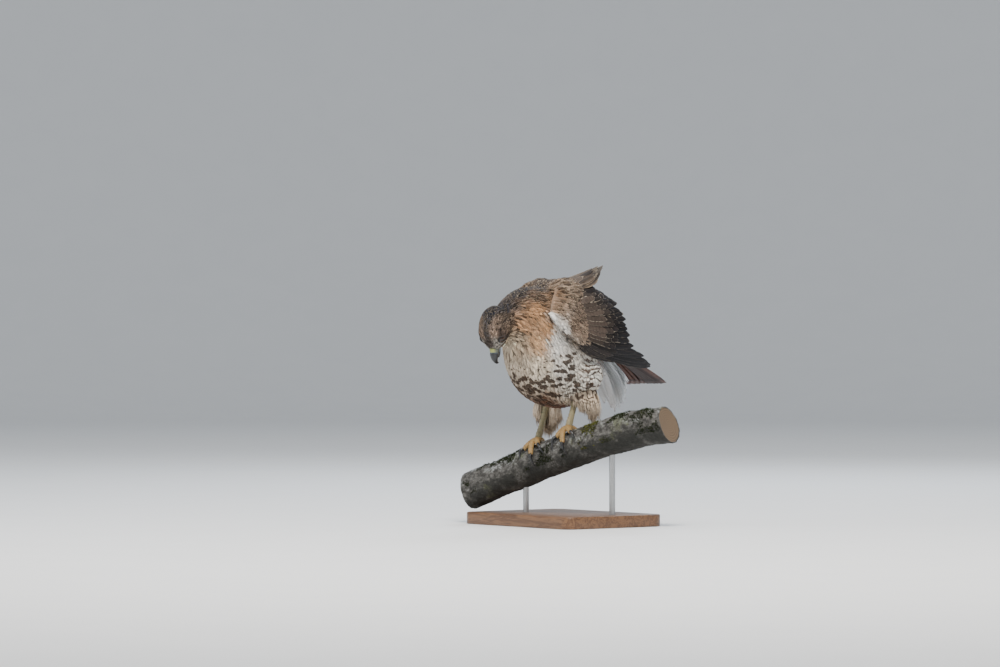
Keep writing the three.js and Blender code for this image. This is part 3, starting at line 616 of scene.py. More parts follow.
def read_tracts():
    """The tracts of both sides as arrays, in the bird's millimetres"""
    rows = []
    for place, lie, *rest in HEAD_TRACTS:
        for side in (1, -1):
            heading = in_head(lie[0], side * lie[1], lie[2]) - Vector(SKULL_CENTRE)
            rows.append((in_head(place[0], side * place[1], place[2]), heading, rest))
    for place, lie, *rest in BODY_TRACTS:
        for side in (1, -1):
            mirror = Vector((side, 1, 1))
            rows.append((Vector(place) * mirror, Vector(lie) * mirror, rest))
    sizes = np.array([[*rest[:3], *rest[3], *rest[4:]] for *_, rest in rows])
    return numbers(row[0] for row in rows), numbers(row[1].normalized() for row in rows), sizes


tract_places, tract_lies, tract_sizes = read_tracts()
LENGTH, WIDTH, SPACING, RED, GREEN, BLUE, STREAK, SPOTS, BARS, PALE, CLING = range(11)


def tract_shares(points, sharp):
    gaps = np.linalg.norm(points[:, None] - tract_places[None], axis=2)
    shares = 1 / (gaps ** sharp + 1)
    return shares / shares.sum(1, keepdims=True)


def wander(points, size, seed):
    """Smooth seeded changes from -1 to 1 over the skin"""
    draw = np.random.default_rng(seed)
    total = np.zeros(len(points))
    for _ in range(6):
        wave = draw.normal(size=3) / size
        total += np.sin(points @ wave * 2 + draw.uniform(0, 2 * math.pi)) / 2.6
    return np.clip(total, -1.5, 1.5)


def look(points):
    """Each tract value at points on the skin"""
    shifted = points + np.stack([wander(points, 9, k) for k in (1, 2, 3)], 1) * 2.5
    return tract_shares(shifted, 5.0) @ tract_sizes


def lie_at(points, normals):
    headings = tract_shares(points, 3.5) @ tract_lies
    return unit(headings - normals * (headings * normals).sum(1, keepdims=True))


def on_skin(points):
    """The nearest places on the skin, with its normals there and its triangles"""
    found = [skin_tree.find_nearest(Vector(p)) for p in points]
    return numbers(f[0] for f in found), numbers(f[1] for f in found), np.array([f[2] for f in found])


EYE = (15.5, 21.2, 6.5)
BARE_ROUND_EYE = 8.9
BILL_FROM = 35
MOST_THROWS = 60000
GRID_CELL = 6


def bare(points):
    """Where the skin has no feathers: round the eyes and under the bill's sheath"""
    away = points - np.array(SKULL_CENTRE)
    ahead, left, top = (away @ np.array(tuple(axis)) for axis in (head_ahead, head_left, head_top))
    eye = np.sqrt((ahead - EYE[0]) ** 2 + (abs(left) - EYE[1]) ** 2 + (top - EYE[2]) ** 2)
    bill = np.hypot(left, top + 6) < 9
    return (eye < BARE_ROUND_EYE) | ((ahead > BILL_FROM) & bill)


def sow(seed):
    """Roots spread over the skin, no two closer than the spacing that their tract asks for"""
    draw = np.random.default_rng(seed)
    corners = np.array([[tuple(v.co) for v in f.verts] for f in skin.faces])
    middles = corners.mean(1)
    normals = numbers(f.normal for f in skin.faces)
    spacing = look(middles)[:, SPACING]
    area = np.linalg.norm(np.cross(corners[:, 1] - corners[:, 0], corners[:, 2] - corners[:, 0]), axis=1) / 2
    wanted = np.where(~bare(middles), area / spacing ** 2, 0)
    count = min(MOST_THROWS, int(wanted.sum() * 3.2))
    picks = draw.choice(len(corners), count, p=wanted / wanted.sum())
    a, b = np.sort(draw.random((2, count)), axis=0)[:, :, None]
    points = corners[picks, 0] * a + corners[picks, 1] * (b - a) + corners[picks, 2] * (1 - b)
    taken, chosen = {}, []
    gaps = spacing[picks] * 0.78
    for i, (point, gap) in enumerate(zip(points.tolist(), gaps.tolist())):
        cell = tuple(int(c // GRID_CELL) for c in point)
        near = (
            other
            for dx in (-1, 0, 1) for dy in (-1, 0, 1) for dz in (-1, 0, 1)
            for other in taken.get((cell[0] + dx, cell[1] + dy, cell[2] + dz), ())
        )
        if all(math.dist(point, other) > gap for other in near):
            taken.setdefault(cell, []).append(point)
            chosen.append(i)
    return points[chosen], normals[picks[chosen]], picks[chosen]


def small_vane(rows):
    """A closed three-sided sliver, one unit long: its ridge is the shaft, its flat side is below"""
    body = bmesh.new()
    bmesh.ops.create_cone(body, cap_ends=True, segments=3, radius1=1, radius2=1, depth=1)
    long_edges = [e for e in body.edges if abs(e.verts[0].co.z - e.verts[1].co.z) > 0.5]
    bmesh.ops.subdivide_edges(body, edges=long_edges, cuts=rows - 1)
    bmesh.ops.triangulate(body, faces=body.faces)
    high = max(v.co.y for v in body.verts)
    at = numbers(v.co for v in body.verts)
    ridge = at[:, 1] > high - 0.1
    across = np.where(ridge, 0, np.sign(at[:, 0]))
    row = np.rint((at[:, 2] + 0.5) * rows).astype(int)
    faces = np.array([[v.index for v in f.verts] for f in body.faces])
    body.free()
    return {"across": across, "row": row, "face": ridge * 1.0, "faces": faces, "rows": rows}


def broad_vane(columns, rows):
    """A closed thin blade with a face above and one below, for the large feathers"""
    body = bmesh.new()
    bmesh.ops.create_grid(body, x_segments=columns, y_segments=rows, size=1)
    bmesh.ops.solidify(body, geom=body.faces, thickness=0.5)
    bmesh.ops.triangulate(body, faces=body.faces)
    at = numbers(v.co for v in body.verts)
    faces = np.array([[v.index for v in f.verts] for f in body.faces])
    body.free()
    top = (at[:, 2] > at[:, 2].mean()) * 1.0
    return {
        "across": np.clip(at[:, 0], -1, 1),
        "row": np.rint((np.clip(at[:, 1], -1, 1) + 1) / 2 * rows).astype(int),
        "face": top,
        "faces": faces,
        "rows": rows,
    }


PATCH = 0.003
SLIVER_ROWS = 4


def feathered(name, finish, slot, vane, spines, tops, widths, shape, thick, colours, marks, roots_uv,
              nodes=(), camber=0.12, patch=PATCH, ragged=0.0, seed=0, spots=0.0):
    """Sets one vane along each spine and joins them as one piece.

    spines and tops are (feathers, rows + 1, 3) in the bird's millimetres. marks are the streak,
    the bars, the pale edge and a number of its own for each feather. roots_uv is the middle of
    each feather's patch on the bake sheet, whose left half is its face and right half its back."""
    draw = np.random.default_rng(seed)
    count, rows = len(spines), vane["rows"]
    row, across, face = vane["row"], vane["across"], vane["face"]
    headings = unit(np.gradient(spines, axis=1))
    sides = unit(np.cross(headings, tops))
    over = np.cross(sides, headings)
    shape = np.interp(np.linspace(0, 1, rows + 1), np.linspace(0, 1, len(shape)), shape)
    torn = 1 - ragged * draw.random((count, len(row))) * (abs(across) > 0.9)
    reach = (widths[:, None] / 2) * (shape[row] * across)[None] * torn
    depth = np.asarray(thick).reshape(-1, 1) * (0.35 + 0.65 * (1 - (row / rows) ** 2))[None]
    rise = depth * face[None] - camber * (abs(across) ** 1.6 * shape[row])[None] * widths[:, None] / 2
    points = spines[:, row] + sides[:, row] * reach[..., None] + over[:, row] * rise[..., None]
    points[..., 1] += BIRD_Y
    points[..., 2] += PERCH_TOP
    corners = (vane["faces"][None] + (np.arange(count) * len(row))[:, None, None]).reshape(-1, 3)
    verts = (points * MM).reshape(-1, 3)
    a, b, c = (points[0][vane["faces"][:, k]] for k in range(3))
    if np.einsum("ij,ij->", a - points[0].mean(0), np.cross(b - a, c - a)) < 0:
        corners = corners[:, ::-1]
    mesh = bpy.data.meshes.new(name)
    mesh.from_pydata(verts, [], corners)
    along = row / rows
    which, part = np.divmod(corners.reshape(-1), len(row))
    local = np.stack([(across + 1) / 2, along], 1)[part]
    beneath = np.tile(np.repeat(face[vane["faces"]].max(1) < 0.5, 3), count)
    halves = np.stack([(local[:, 0] + beneath) / 2, local[:, 1]], 1)
    for layer, values in (("vane", local), ("OFBake", roots_uv[which] + (halves - 0.5) * patch)):
        mesh.uv_layers.new(name=layer).data.foreach_set("uv", values.astype(np.float32).ravel())
    for layer, values in (
        ("colour", np.column_stack([colours, np.broadcast_to(spots, count)])),
        ("marks", marks),
    ):
        spread = np.repeat(values, len(row), axis=0).astype(np.float32)
        mesh.attributes.new(layer, "FLOAT_COLOR", "POINT").data.foreach_set("color", spread.ravel())
    under = np.tile(1 - face, count).astype(np.float32)
    mesh.attributes.new("under", "FLOAT", "POINT").data.foreach_set("value", under)
    mesh.shade_smooth()
    return put_mesh(name, mesh, finish, slot, *nodes)


def comb(points, normals, lengths, cling, rise, seed):
    """Leads each feather from its root along the lie of the coat, and lifts it towards its tip"""
    draw = np.random.default_rng(seed)
    place, facing = points.copy(), normals.copy()
    sunk = 0.3 + 0.05 * lengths
    fall = np.array([0, 0.12, -1.0])
    yaw = draw.normal(0, 0.12, len(points))[:, None]
    spines, tops = [], []
    for k in range(SLIVER_ROWS + 1):
        t = k / SLIVER_ROWS
        lift = rise * (0.3 + t) * (0.85 + 0.3 * draw.random(len(points))) - sunk
        spines.append(place + facing * lift[:, None])
        tops.append(facing.copy())
        if k == SLIVER_ROWS:
            break
        heading = lie_at(place, facing)
        heading = heading + np.cross(facing, heading) * yaw
        loose = ((1 - cling) * t * 1.2)[:, None]
        heading = unit(heading * (1 - loose) + fall * loose)
        ahead = place + heading * (lengths / SLIVER_ROWS)[:, None]
        held, held_facing, _ = on_skin(ahead)
        free = (np.clip((1 - cling) * t * 2.6, 0, 1))[:, None]
        place = held * (1 - free) + ahead * free
        facing = unit(held_facing * (1 - free) + facing * free)
    return np.stack(spines, 1), np.stack(tops, 1)


def on_vane(made):
    """Where a finish is on its vane: across, along and how far off the shaft, from 0 to 1"""
    flat = made.node("ShaderNodeUVMap", {"uv_map": "vane"})
    across, along = (made.part_of(flat, axis) for axis in ("X", "Y"))
    return across, along, abs(across - 0.5) * 2


def own_marks(made):
    """A feather's three marks, and the number of its own that sets it off from the rest"""
    marks = made.attribute("marks", "Color")
    three = [made.node("ShaderNodeSeparateColor", {}, {0: marks}, one) for one in ("Red", "Green", "Blue")]
    return (*three, made.attribute("marks", "Alpha"))


def plumage(name, dark):
    """A soft feather: shaft streak, spots, cross bars and pale edge, as strong as its marks say"""
    made = Finish(name, Roughness=0.75, Specular_IOR_Level=0.08, Sheen_Weight=0.03, Sheen_Roughness=0.5)
    streak, bars, pale, own = own_marks(made)
    _, along, off_shaft = on_vane(made)
    here = made.place()
    speckle = made.grain(here, 260, 3)
    drift = made.grain(here, 34, 2)
    height = made.part_of(here, "Z")
    barbs = (along * 26 + off_shaft * 5 + speckle * 1.5).wave()
    down_shaft = off_shaft.between(0.62, 0.22) * along.between(0.3, 0.55) * along.between(1.02, 0.9)
    cross = (height * 92 + drift * 4.6 + own * 0.3 + off_shaft * 0.12).wave().between(0.5, 0.78)
    drops = made.cells(made.place((1.15, 0.45, 1.15), (0.75, 0, 0)), 104, "F1")
    spotted = made.attribute("colour", "Alpha")
    blots = (drops + own * 0.2 + speckle * 0.3 + drift * 0.5 - spotted * 0.64).between(0.4, 0.26)
    blots = blots * spotted.between(0, 0.2)
    edge = (off_shaft.between(0.62, 0.95) + along.between(0.84, 0.97)) * along.between(0.35, 0.6)
    marked = made.attribute("colour", "Color")
    marked = made.tint(marked, (0.6, 0.47, 0.32), edge.between(0, 1) * pale * 0.62)
    marked = made.tint(marked, dark, down_shaft * streak * 0.8)
    marked = made.tint(marked, (dark[0] * 1.5, dark[1] * 1.35, dark[2] * 1.2), blots * 0.92)
    above_fluff = height.between(0.232, 0.256)
    marked = made.tint(marked, (dark[0] * 2.6, dark[1] * 2.4, dark[2] * 2.2), cross * bars * above_fluff)
    uneven = made.tint((0.5, 0.48, 0.45), (1.3, 1.3, 1.3), speckle * 0.5 + own * 0.5)
    multiply = {"data_type": "RGBA", "blend_type": "MULTIPLY"}
    made.feed("Base Color", made.node("ShaderNodeMix", multiply, {"Factor": 0.5, 6: marked, 7: uneven}, 2))
    made.feed("Roughness", 0.62 + speckle * 0.25)
    made.relief(barbs * 0.6 + off_shaft.between(0.16, 0.02), 0.12)
    return made


soft_plumage = plumage("soft body feathers", (0.035, 0.024, 0.018))
under_down = Finish("down under the feathers", Roughness=0.85)
down_tint = under_down.attribute("colour", "Color")
tufted = under_down.grain(under_down.place(), 240, 4)
under_down.feed("Base Color", under_down.tint(down_tint, (0.1, 0.085, 0.07), tufted.between(0.5, 0.7) * 0.5))
under_down.feed("Roughness", 0.75 + tufted * 0.2)
under_down.relief(tufted, 1.0)
skin_piece = put(
    "skin", to_room(skin.copy()), under_down, "body_feathers",
    "torso", "neck", "head", "mantle", "thigh_left", "thigh_right",
)
skin_mesh = skin_piece.data
values = look(numbers(v.co for v in skin.verts))
skin_colours = np.column_stack([values[:, RED:BLUE + 1] * 0.75, np.ones(len(values))]).astype(np.float32)
skin_mesh.attributes.new("colour", "FLOAT_COLOR", "POINT").data.foreach_set("color", skin_colours.ravel())
bpy.context.view_layer.objects.active = skin_piece
skin_piece.select_set(True)
bpy.ops.object.mode_set(mode="EDIT")
bpy.ops.mesh.select_all(action="SELECT")
bpy.ops.uv.smart_project(angle_limit=math.radians(66), island_margin=0.002)
bpy.ops.object.mode_set(mode="OBJECT")
skin_mesh.uv_layers.active.name = "OFBake"
skin_uv = np.zeros(len(skin_mesh.loops) * 2, np.float32)
skin_mesh.uv_layers["OFBake"].data.foreach_get("uv", skin_uv)
skin_uv = skin_uv.reshape(-1, 3, 2)


def root_uv(triangles):
    return skin_uv[triangles].mean(1)


def on_arm(points):
    """Which points lie on the outer face of a folded wing"""
    flat = points[:, 1:] - np.array(WING_FRONT)
    spine = np.array(tuple(wing_spine))
    length = math.dist(WING_FRONT, WING_DOME)
    t = np.clip(flat @ spine / length, 0, 1)
    rise = flat @ np.array([-spine[1], spine[0]])
    places = np.linspace(0, 1, len(DOME_TOP))
    top = np.interp(t, places, DOME_TOP)
    low = np.interp(t, places, DOME_LOW)
    face = wing_face(points[:, 1], points[:, 2])
    return (rise < top + 2) & (rise > -low - 2) & (abs(abs(points[:, 0]) - face) < 12) & (t > 0) & (t < 1)


def on_leg(points):
    """Which points lie on a drumstick"""
    found = np.zeros(len(points), bool)
    for side in (1, -1):
        heel = heel_place(side)
        flat = points - np.array([side * DRUMSTICK_OUT, heel.y + 5, 0])
        beside = np.hypot(flat[:, 0], flat[:, 1]) < DRUMSTICK_REACH
        found |= beside & (points[:, 2] < DRUMSTICK_TOP)
    return found


COAT_PIECES = [
    ("breast_and_flank_feathers", "body_feathers"), ("nape_and_back_feathers", "back_feathers"),
    ("left_leg_feathers", "body_feathers"), ("right_leg_feathers", "body_feathers"),
    ("left_wing_small_coverts", "back_feathers"), ("right_wing_small_coverts", "back_feathers"),
    ("head_feathers", "body_feathers"),
]
BACK_FROM = 250
HEAD_REACH = 52
BODY_SHAPE = [0.5, 0.9, 1.0, 0.92, 0.3]


def part_of_coat(points):
    """The place in COAT_PIECES of the piece that each feather belongs to"""
    on_right = points[:, 0] <= 0
    part = np.where(points[:, 2] > BACK_FROM, 1, 0)
    part = np.where(on_leg(points), 2 + on_right, part)
    part = np.where(on_arm(points), 4 + on_right, part)
    return np.where(np.linalg.norm(points - np.array(in_head(-4, 0, 0)), axis=1) < HEAD_REACH, 6, part)


points, normals, triangles = sow(11)
values = look(points)
draw = np.random.default_rng(12)
lengths = values[:, LENGTH] * draw.uniform(0.82, 1.18, len(points))
widths = values[:, WIDTH] * draw.uniform(0.85, 1.15, len(points))
spines, tops = comb(points, normals, lengths, values[:, CLING], 0.35 + 0.13 * lengths, 13)
own = draw.random(len(points))


def streaks(points, axis, size, seed):
    """Smooth changes drawn out four times along an axis"""
    return wander(points - 0.75 * np.outer(points @ np.array(axis), axis), size, seed)


patchy = 0.8 + 0.5 * wander(points, 5, 8)
shade = draw.normal(1, 0.09, len(points)) * (1 + 0.22 * wander(points, 6, 9) * np.clip(values[:, PALE], 0, 1))
flecked = draw.random(len(points)) < 0.36 * values[:, STREAK] * patchy
shade = np.where(flecked, 0.32, shade) * np.where(draw.random(len(points)) < 0.2 * values[:, PALE], 1.6, 1)
coat_part = part_of_coat(points)
shade *= np.where(
    coat_part == 6, 1 + 0.75 * streaks(points, tuple(head_ahead), 2.3, 14),
    1 + 0.5 * values[:, STREAK] * streaks(points, (0.4, 0.62, -0.67), 4.5, 15),
)
colours = np.clip(values[:, RED:BLUE + 1] * np.maximum(shade, 0.2)[:, None], 0, 1)
marks = np.column_stack([
    np.clip(values[:, STREAK] * patchy + draw.normal(0, 0.1, len(points)), 0, 1),
    np.clip(values[:, BARS] + draw.normal(0, 0.08, len(points)), 0, 1),
    np.clip(values[:, PALE] * draw.uniform(0.3, 1.3, len(points)), 0, 1),
    own,
])
uv = root_uv(triangles)
sliver = small_vane(SLIVER_ROWS)
for index, (name, slot) in enumerate(COAT_PIECES):
    mine = coat_part == index
    feathered(
        name, soft_plumage, slot, sliver, spines[mine], tops[mine], widths[mine], BODY_SHAPE,
        0.06 * widths[mine], colours[mine], marks[mine], uv[mine],
        ragged=0.25, seed=index, spots=np.clip(values[mine, SPOTS], 0, 1.3),
    )

# Soft locks of feather hang from the lower half of each drumstick over the heel. They are rooted
# inside it, and are loose and long at the back and short in front, where the shank comes out.
LOCKS_A_LEG = 760
LOCK_SHAPE = [0.5, 0.9, 1.0, 0.7, 0.05]
LOCK_COLOUR = (0.78, 0.63, 0.48)
LOCK_BARS = 0.9


def bent(root, bend, tip, rows):
    """Quadratic curves from arrays of roots, bends and tips"""
    t = np.linspace(0, 1, rows + 1)[None, :, None]
    return root[:, None] * (1 - t) ** 2 + bend[:, None] * 2 * t * (1 - t) + tip[:, None] * t ** 2


def along_spines(facing, rows):
    """One facing for each feather, all the way along it"""
    return np.repeat(facing[:, None], rows + 1, axis=1)


def all_marks(count, streak, bars, pale, draw):
    """The same marks for every feather of a piece, each with a number of its own"""
    marks = np.empty((count, 4))
    marks[:, 0], marks[:, 1], marks[:, 2], marks[:, 3] = streak, bars, pale, draw.random(count)
    return marks


for side, name in SIDES:
    draw = np.random.default_rng(21 + side)
    heel = heel_place(side)
    turn = np.radians(draw.uniform(-95, 195, LOCKS_A_LEG))
    out = np.stack([side * np.cos(turn), np.sin(turn), 0 * turn], 1)
    high = draw.random(LOCKS_A_LEG)
    behind = np.clip(np.sin(turn) * 0.6 + np.cos(turn) * 0.5, 0, 1)
    reach = (20 + 34 * behind) * draw.uniform(0.75, 1.1, LOCKS_A_LEG)
    start = np.array([side * 45, heel.y + 6, heel.z])
    down = np.array([0, 0, 1.0])
    root = start + out * (8 + 11 * high)[:, None] + down * (-12 + 18 * high)[:, None]
    bend = start + out * (17 + 15 * high)[:, None] + down * (-34 + 18 * high)[:, None]
    tip = start + out * (11 + 16 * high)[:, None] + down * (-28 - reach + 16 * high)[:, None]
    tip += draw.normal(0, 3.2, tip.shape) + np.array([side * 1.5, 5, 0])
    spines = bent(root, bend, tip, SLIVER_ROWS)
    tops = along_spines(out, SLIVER_ROWS)
    _, _, where = on_skin(root)
    locks = np.clip(np.array(LOCK_COLOUR) * draw.normal(1, 0.06, LOCKS_A_LEG)[:, None], 0, 1)
    lock_marks = all_marks(LOCKS_A_LEG, 0, LOCK_BARS, 0, draw)
    feathered(
        f"{name}_leg_locks", soft_plumage, "body_feathers", sliver, spines, tops,
        draw.uniform(3.5, 7, LOCKS_A_LEG), LOCK_SHAPE, 0.5, locks, lock_marks, root_uv(where),
        ragged=0.3, seed=side + 3,
    )

# The folded wings hang over the flanks. Their long stiff quills are rooted in tiers, each under
# the coverts above it, and every vane laps over the one below.

# Each tier has its count, its roots and tips in the side view, width, height over the wing, step
# down from one vane to the next, tilt, sag, colour, bars and pale edge.
WING_TIERS = {
    "primaries": (
        9, [(6, 196), (-2, 180)],
        [(142, 181), (176, 166), (204, 150), (216, 143), (190, 149), (144, 159)],
        20, 1, 1.0, 0.03, 6, (0.009, 0.008, 0.009), 0.2, 0.15,
    ),
    "secondaries": (
        13, [(2, 294), (10, 210)],
        [(56, 294), (78, 283), (102, 270), (116, 244), (122, 218), (129, 194)],
        25, 3.6, 0, 0.16, -3, (0.01, 0.009, 0.01), 0.4, 0.6,
    ),
    "greater_coverts": (
        12, [(14, 290), (18, 200)],
        [(54, 298), (76, 276), (90, 246), (95, 214), (84, 180)],
        22, 6.2, 0, 0.15, -2, (0.014, 0.011, 0.011), 0.4, 0.9,
    ),
    "median_coverts": (
        11, [(10, 282), (18, 202)],
        [(48, 290), (66, 268), (77, 236), (76, 208), (66, 182)],
        19, 8.2, 0, 0.13, -1, (0.026, 0.02, 0.017), 0.3, 1.0,
    ),
    "lower_coverts": (
        10, [(0, 270), (6, 200)],
        [(38, 276), (52, 256), (62, 228), (60, 204), (46, 184)],
        16, 9.4, 0, 0.12, -1, (0.06, 0.044, 0.035), 0.3, 1.1,
    ),
    "primary_coverts": (
        6, [(-18, 208), (-12, 196)],
        [(92, 166), (74, 160), (46, 164)],
        14, 4.6, 0.8, 0.03, 7, (0.022, 0.018, 0.017), 0.1, 0.4,
    ),
}
QUILL_ROWS = 14
QUILL_SHAPE = [0.3, 0.55, 0.8, 0.93, 1.0, 1.0, 0.99, 0.97, 0.94, 0.9, 0.84, 0.74, 0.55, 0.12]
QUILL_THICK = 0.7


def cell_uv(count, columns):
    """A place of its own on the piece's sheet for each large feather, and the size of it"""
    rows = math.ceil(count / columns)
    i = np.arange(count)
    middles = np.stack([(i % columns + 0.5) / columns, (i // columns + 0.5) / rows], 1)
    return middles, np.array([0.94 / columns, 0.94 / rows])


def quills(name, dark, beneath):
    """A stiff vane with a brown shaft, faint bars, worn pale edges and an underside colour, which on the tail
    is painted shade
    """
    made = Finish(name, Roughness=0.5, Specular_IOR_Level=0.16)
    band, bars, pale, own = own_marks(made)
    across, along, off_shaft = on_vane(made)
    mottle = made.grain(made.place(), 150, 4)
    barbs = (along * 90 + off_shaft * 14 + mottle * 2).wave()
    cross = (along * 6.5 + own + mottle * 0.3 - off_shaft * 0.25).wave().between(0.45, 0.75)
    edge = off_shaft.between(0.8, 0.97) + along.between(0.965, 0.99)
    tinted = made.tint(made.attribute("colour", "Color"), dark, cross * bars * 0.7)
    tinted = made.tint(tinted, dark, along.between(0.88, 0.91) * along.between(0.955, 0.93) * band)
    tinted = made.tint(tinted, (0.46, 0.38, 0.29), edge.between(0, 1) * pale * mottle.between(0.42, 0.6))
    shaft = off_shaft.between(0.07, 0.03)
    tinted = made.tint(tinted, (0.06, 0.045, 0.035), shaft * 0.6)
    tinted = made.tint(tinted, beneath, made.attribute("under") * 0.8)
    tinted = made.tint(tinted, dark, across.between(0.56, 0.42) * band * 0.75)
    made.feed("Base Color", made.tint(tinted, dark, mottle.between(0.5, 0.75) * 0.45))
    made.feed("Roughness", 0.42 + barbs * 0.12 + mottle * 0.16)
    made.relief(barbs * 0.5 + shaft, 0.1)
    return made


dark_quills = quills("dark flight feathers", (0.007, 0.006, 0.007), (0.16, 0.15, 0.15))
blade = broad_vane(6, QUILL_ROWS)


for side, name in SIDES:
    draw = np.random.default_rng(31 + side)
    spines, tops, widths, colours, marks = [], [], [], [], []
    t = np.linspace(0, 1, QUILL_ROWS + 1)
    for count, roots, tips, width, level, step, tilt, sag, colour, bars, pale in WING_TIERS.values():
        for i in range(count):
            share = i / (count - 1)
            root = np.array(roots[0]) * (1 - share) + np.array(roots[1]) * share
            tip_at, _ = curve_point([(y, z, 0) for y, z in tips], share)
            tip = np.array(tip_at[:2]) + draw.normal(0, 2.2, 2)
            bend = (root + tip) / 2 + np.array([0, -sag * (1 + 1.4 * share)])
            flat = bent(root[None], bend[None], tip[None], QUILL_ROWS)[0]
            ease = np.clip((t + 0.4) / 0.7, 0, 1)
            lift = (level - step * i) * ease * ease * (3 - 2 * ease) + draw.normal(0, 0.15)
            y, z = flat.T
            spine = np.stack([side * (wing_face(y, z) + lift), y, z], 1)
            facing = unit(np.stack([0 * y + side, 0.00146 * y, 0.00592 * (z - 200)], 1))
            heading = unit(np.gradient(spine, axis=0))
            upper = unit(np.cross(heading, facing))
            upper *= np.sign(upper[:, 2:])
            spines.append(spine)
            tops.append(unit(facing + upper * (tilt + draw.normal(0, 0.012))))
            widths.append(width * draw.uniform(0.93, 1.07))
            colours.append(np.array(colour) * draw.uniform(0.6, 1.5))
            marks.append((0, bars, pale * draw.uniform(0.2, 1.3), draw.random()))
    cells, size = cell_uv(len(spines), 10)
    feathered(
        f"{name}_wing_quills", dark_quills, "quills", blade, np.array(spines), np.array(tops),
        np.array(widths), QUILL_SHAPE, QUILL_THICK, np.array(colours), np.array(marks), cells,
        camber=0.06, patch=size, ragged=0.07, seed=40 + side, nodes=(f"wing_{name}",),
    )

# Long soft shoulder feathers lie over the root of each wing, in five tiers. The left ones are
# lifted and drawn together into one pointed tuft, and the right ones lie flat.
SCAPULAR_TIERS = (0, 0.35, 0.7, 1, 1.35)
SCAPULARS_A_TIER = 9
SCAPULAR_ROWS = 8
UPPER_SCAPULAR = (0.03, 0.026, 0.026)
LOWER_SCAPULAR = (0.08, 0.06, 0.047)
TUFT_OUT = 38
scapular_blade = broad_vane(4, SCAPULAR_ROWS)
TUFT_SHAPE = [0.4, 0.75, 0.95, 1.0, 1.0, 0.92, 0.75, 0.5, 0.1]
mottled_back = plumage("brown back feathers", (0.03, 0.022, 0.018))
for side, name in SIDES:
    draw = np.random.default_rng(51 + side)
    lifted = 1 if side > 0 else 0
    rows = []
    for tier in SCAPULAR_TIERS:
        for share in np.linspace(0, 1, SCAPULARS_A_TIER):
            out = 24 + 42 * share + draw.normal(0, 1.5)
            fall = 17 * share ** 2 + 1.2 * tier
            back = (104 - 44 * tier) - 18 * share + draw.normal(0, 3)
            rise = (41 - 16 * share) * (1 - 0.34 * tier) if lifted else -12 - 8 * share
            back -= 0.2 * lifted * (back - 92)
            gather = 0.7 * lifted * max(0, 1 - tier)
            tip_out = out - 5 + gather * (TUFT_OUT - out)
            rows.append((
                (side * (34 + 20 * share), -14 * tier, 307 - fall * 0.6 + 2 * tier),
                (side * out, 42 - 14 * tier, 311 - fall + rise * 0.1 + 4 * tier),
                (side * tip_out, back, 304 - fall + rise + 2.5 * tier + gather * (fall + 40 - rise)),
                tier,
            ))
    count = len(rows)
    root, bend, tip = (np.array([row[k] for row in rows], float) for k in range(3))
    tier = np.array([row[3] for row in rows])
    spines = bent(root, bend, tip, SCAPULAR_ROWS)
    up = unit(np.array([side * 0.35, -0.2 * lifted, 1.0]) + draw.normal(0, 0.05, (count, 3)))
    tones = np.where(tier[:, None] < 0.5, UPPER_SCAPULAR, LOWER_SCAPULAR) * draw.uniform(0.6, 1.5, (count, 1))
    cells, size = cell_uv(count, SCAPULARS_A_TIER)
    widths = draw.uniform(14, 19, count)
    worn = draw.uniform(0.1, 0.7, count) ** 2 + 0.1
    feathered(
        f"{name}_scapulars", mottled_back, "back_feathers", scapular_blade, spines,
        along_spines(up, SCAPULAR_ROWS), widths, TUFT_SHAPE, 0.5, tones,
        all_marks(count, 0.5, 0, worn, draw), cells, patch=size, ragged=0.15, seed=60 + side,
        nodes=(f"scapulars_{name}",),
    )

# The tail is a half open fan of twelve stiff quills, rooted in the rump, that swings to the bird's
# right. Its brick red above is painted darker as shade, it has a dark band near the end, and its
# underside is painted dark brown as shade.
TAIL_SWING = math.radians(12)
TAIL_DROP = math.radians(30)
TAIL_SPREAD = math.radians(15.5)
TAIL_LENGTH = 204
TAIL_WIDTH = 33.0
TAIL_QUILLS = 12
TAIL_SHAPE = [0.3, 0.5, 0.7, 0.82, 0.9, 0.95, 1.0, 1.0, 1.0, 1.0, 1.0, 0.98, 0.92, 0.6]
# The tail's brick red, painted darker as shade.
SHADED_BRICK_RED = (0.2, 0.068, 0.036)
TAIL_ROOT = np.array([0, 92, 206])
tail_back = np.array([
    -math.sin(TAIL_SWING) * math.cos(TAIL_DROP),
    math.cos(TAIL_SWING) * math.cos(TAIL_DROP),
    -math.sin(TAIL_DROP),
])
tail_left = np.array([math.cos(TAIL_SWING), math.sin(TAIL_SWING), 0])
tail_top = np.cross(tail_left, tail_back)
# The tail's underside colour is painted shade.
red_quills = quills("red tail feathers", (0.01, 0.006, 0.006), (0.06, 0.034, 0.03))
middle_quill = (TAIL_QUILLS - 1) / 2
places = (np.arange(TAIL_QUILLS) - middle_quill) / middle_quill
draw = np.random.default_rng(57)
fan = places * TAIL_SPREAD
long = TAIL_LENGTH * (1 - 0.035 * abs(places)) + 3 * draw.random(TAIL_QUILLS)
level = np.where(places > 0, 3.4, 1.9) - 8 * abs(places)


def tail_spot(back, fall):
    left = 9 * places + back * np.sin(fan)
    return (
        TAIL_ROOT
        + tail_back * (back * np.cos(fan))[:, None]
        + tail_left * left[:, None]
        + tail_top * (level * fall)[:, None]
    )


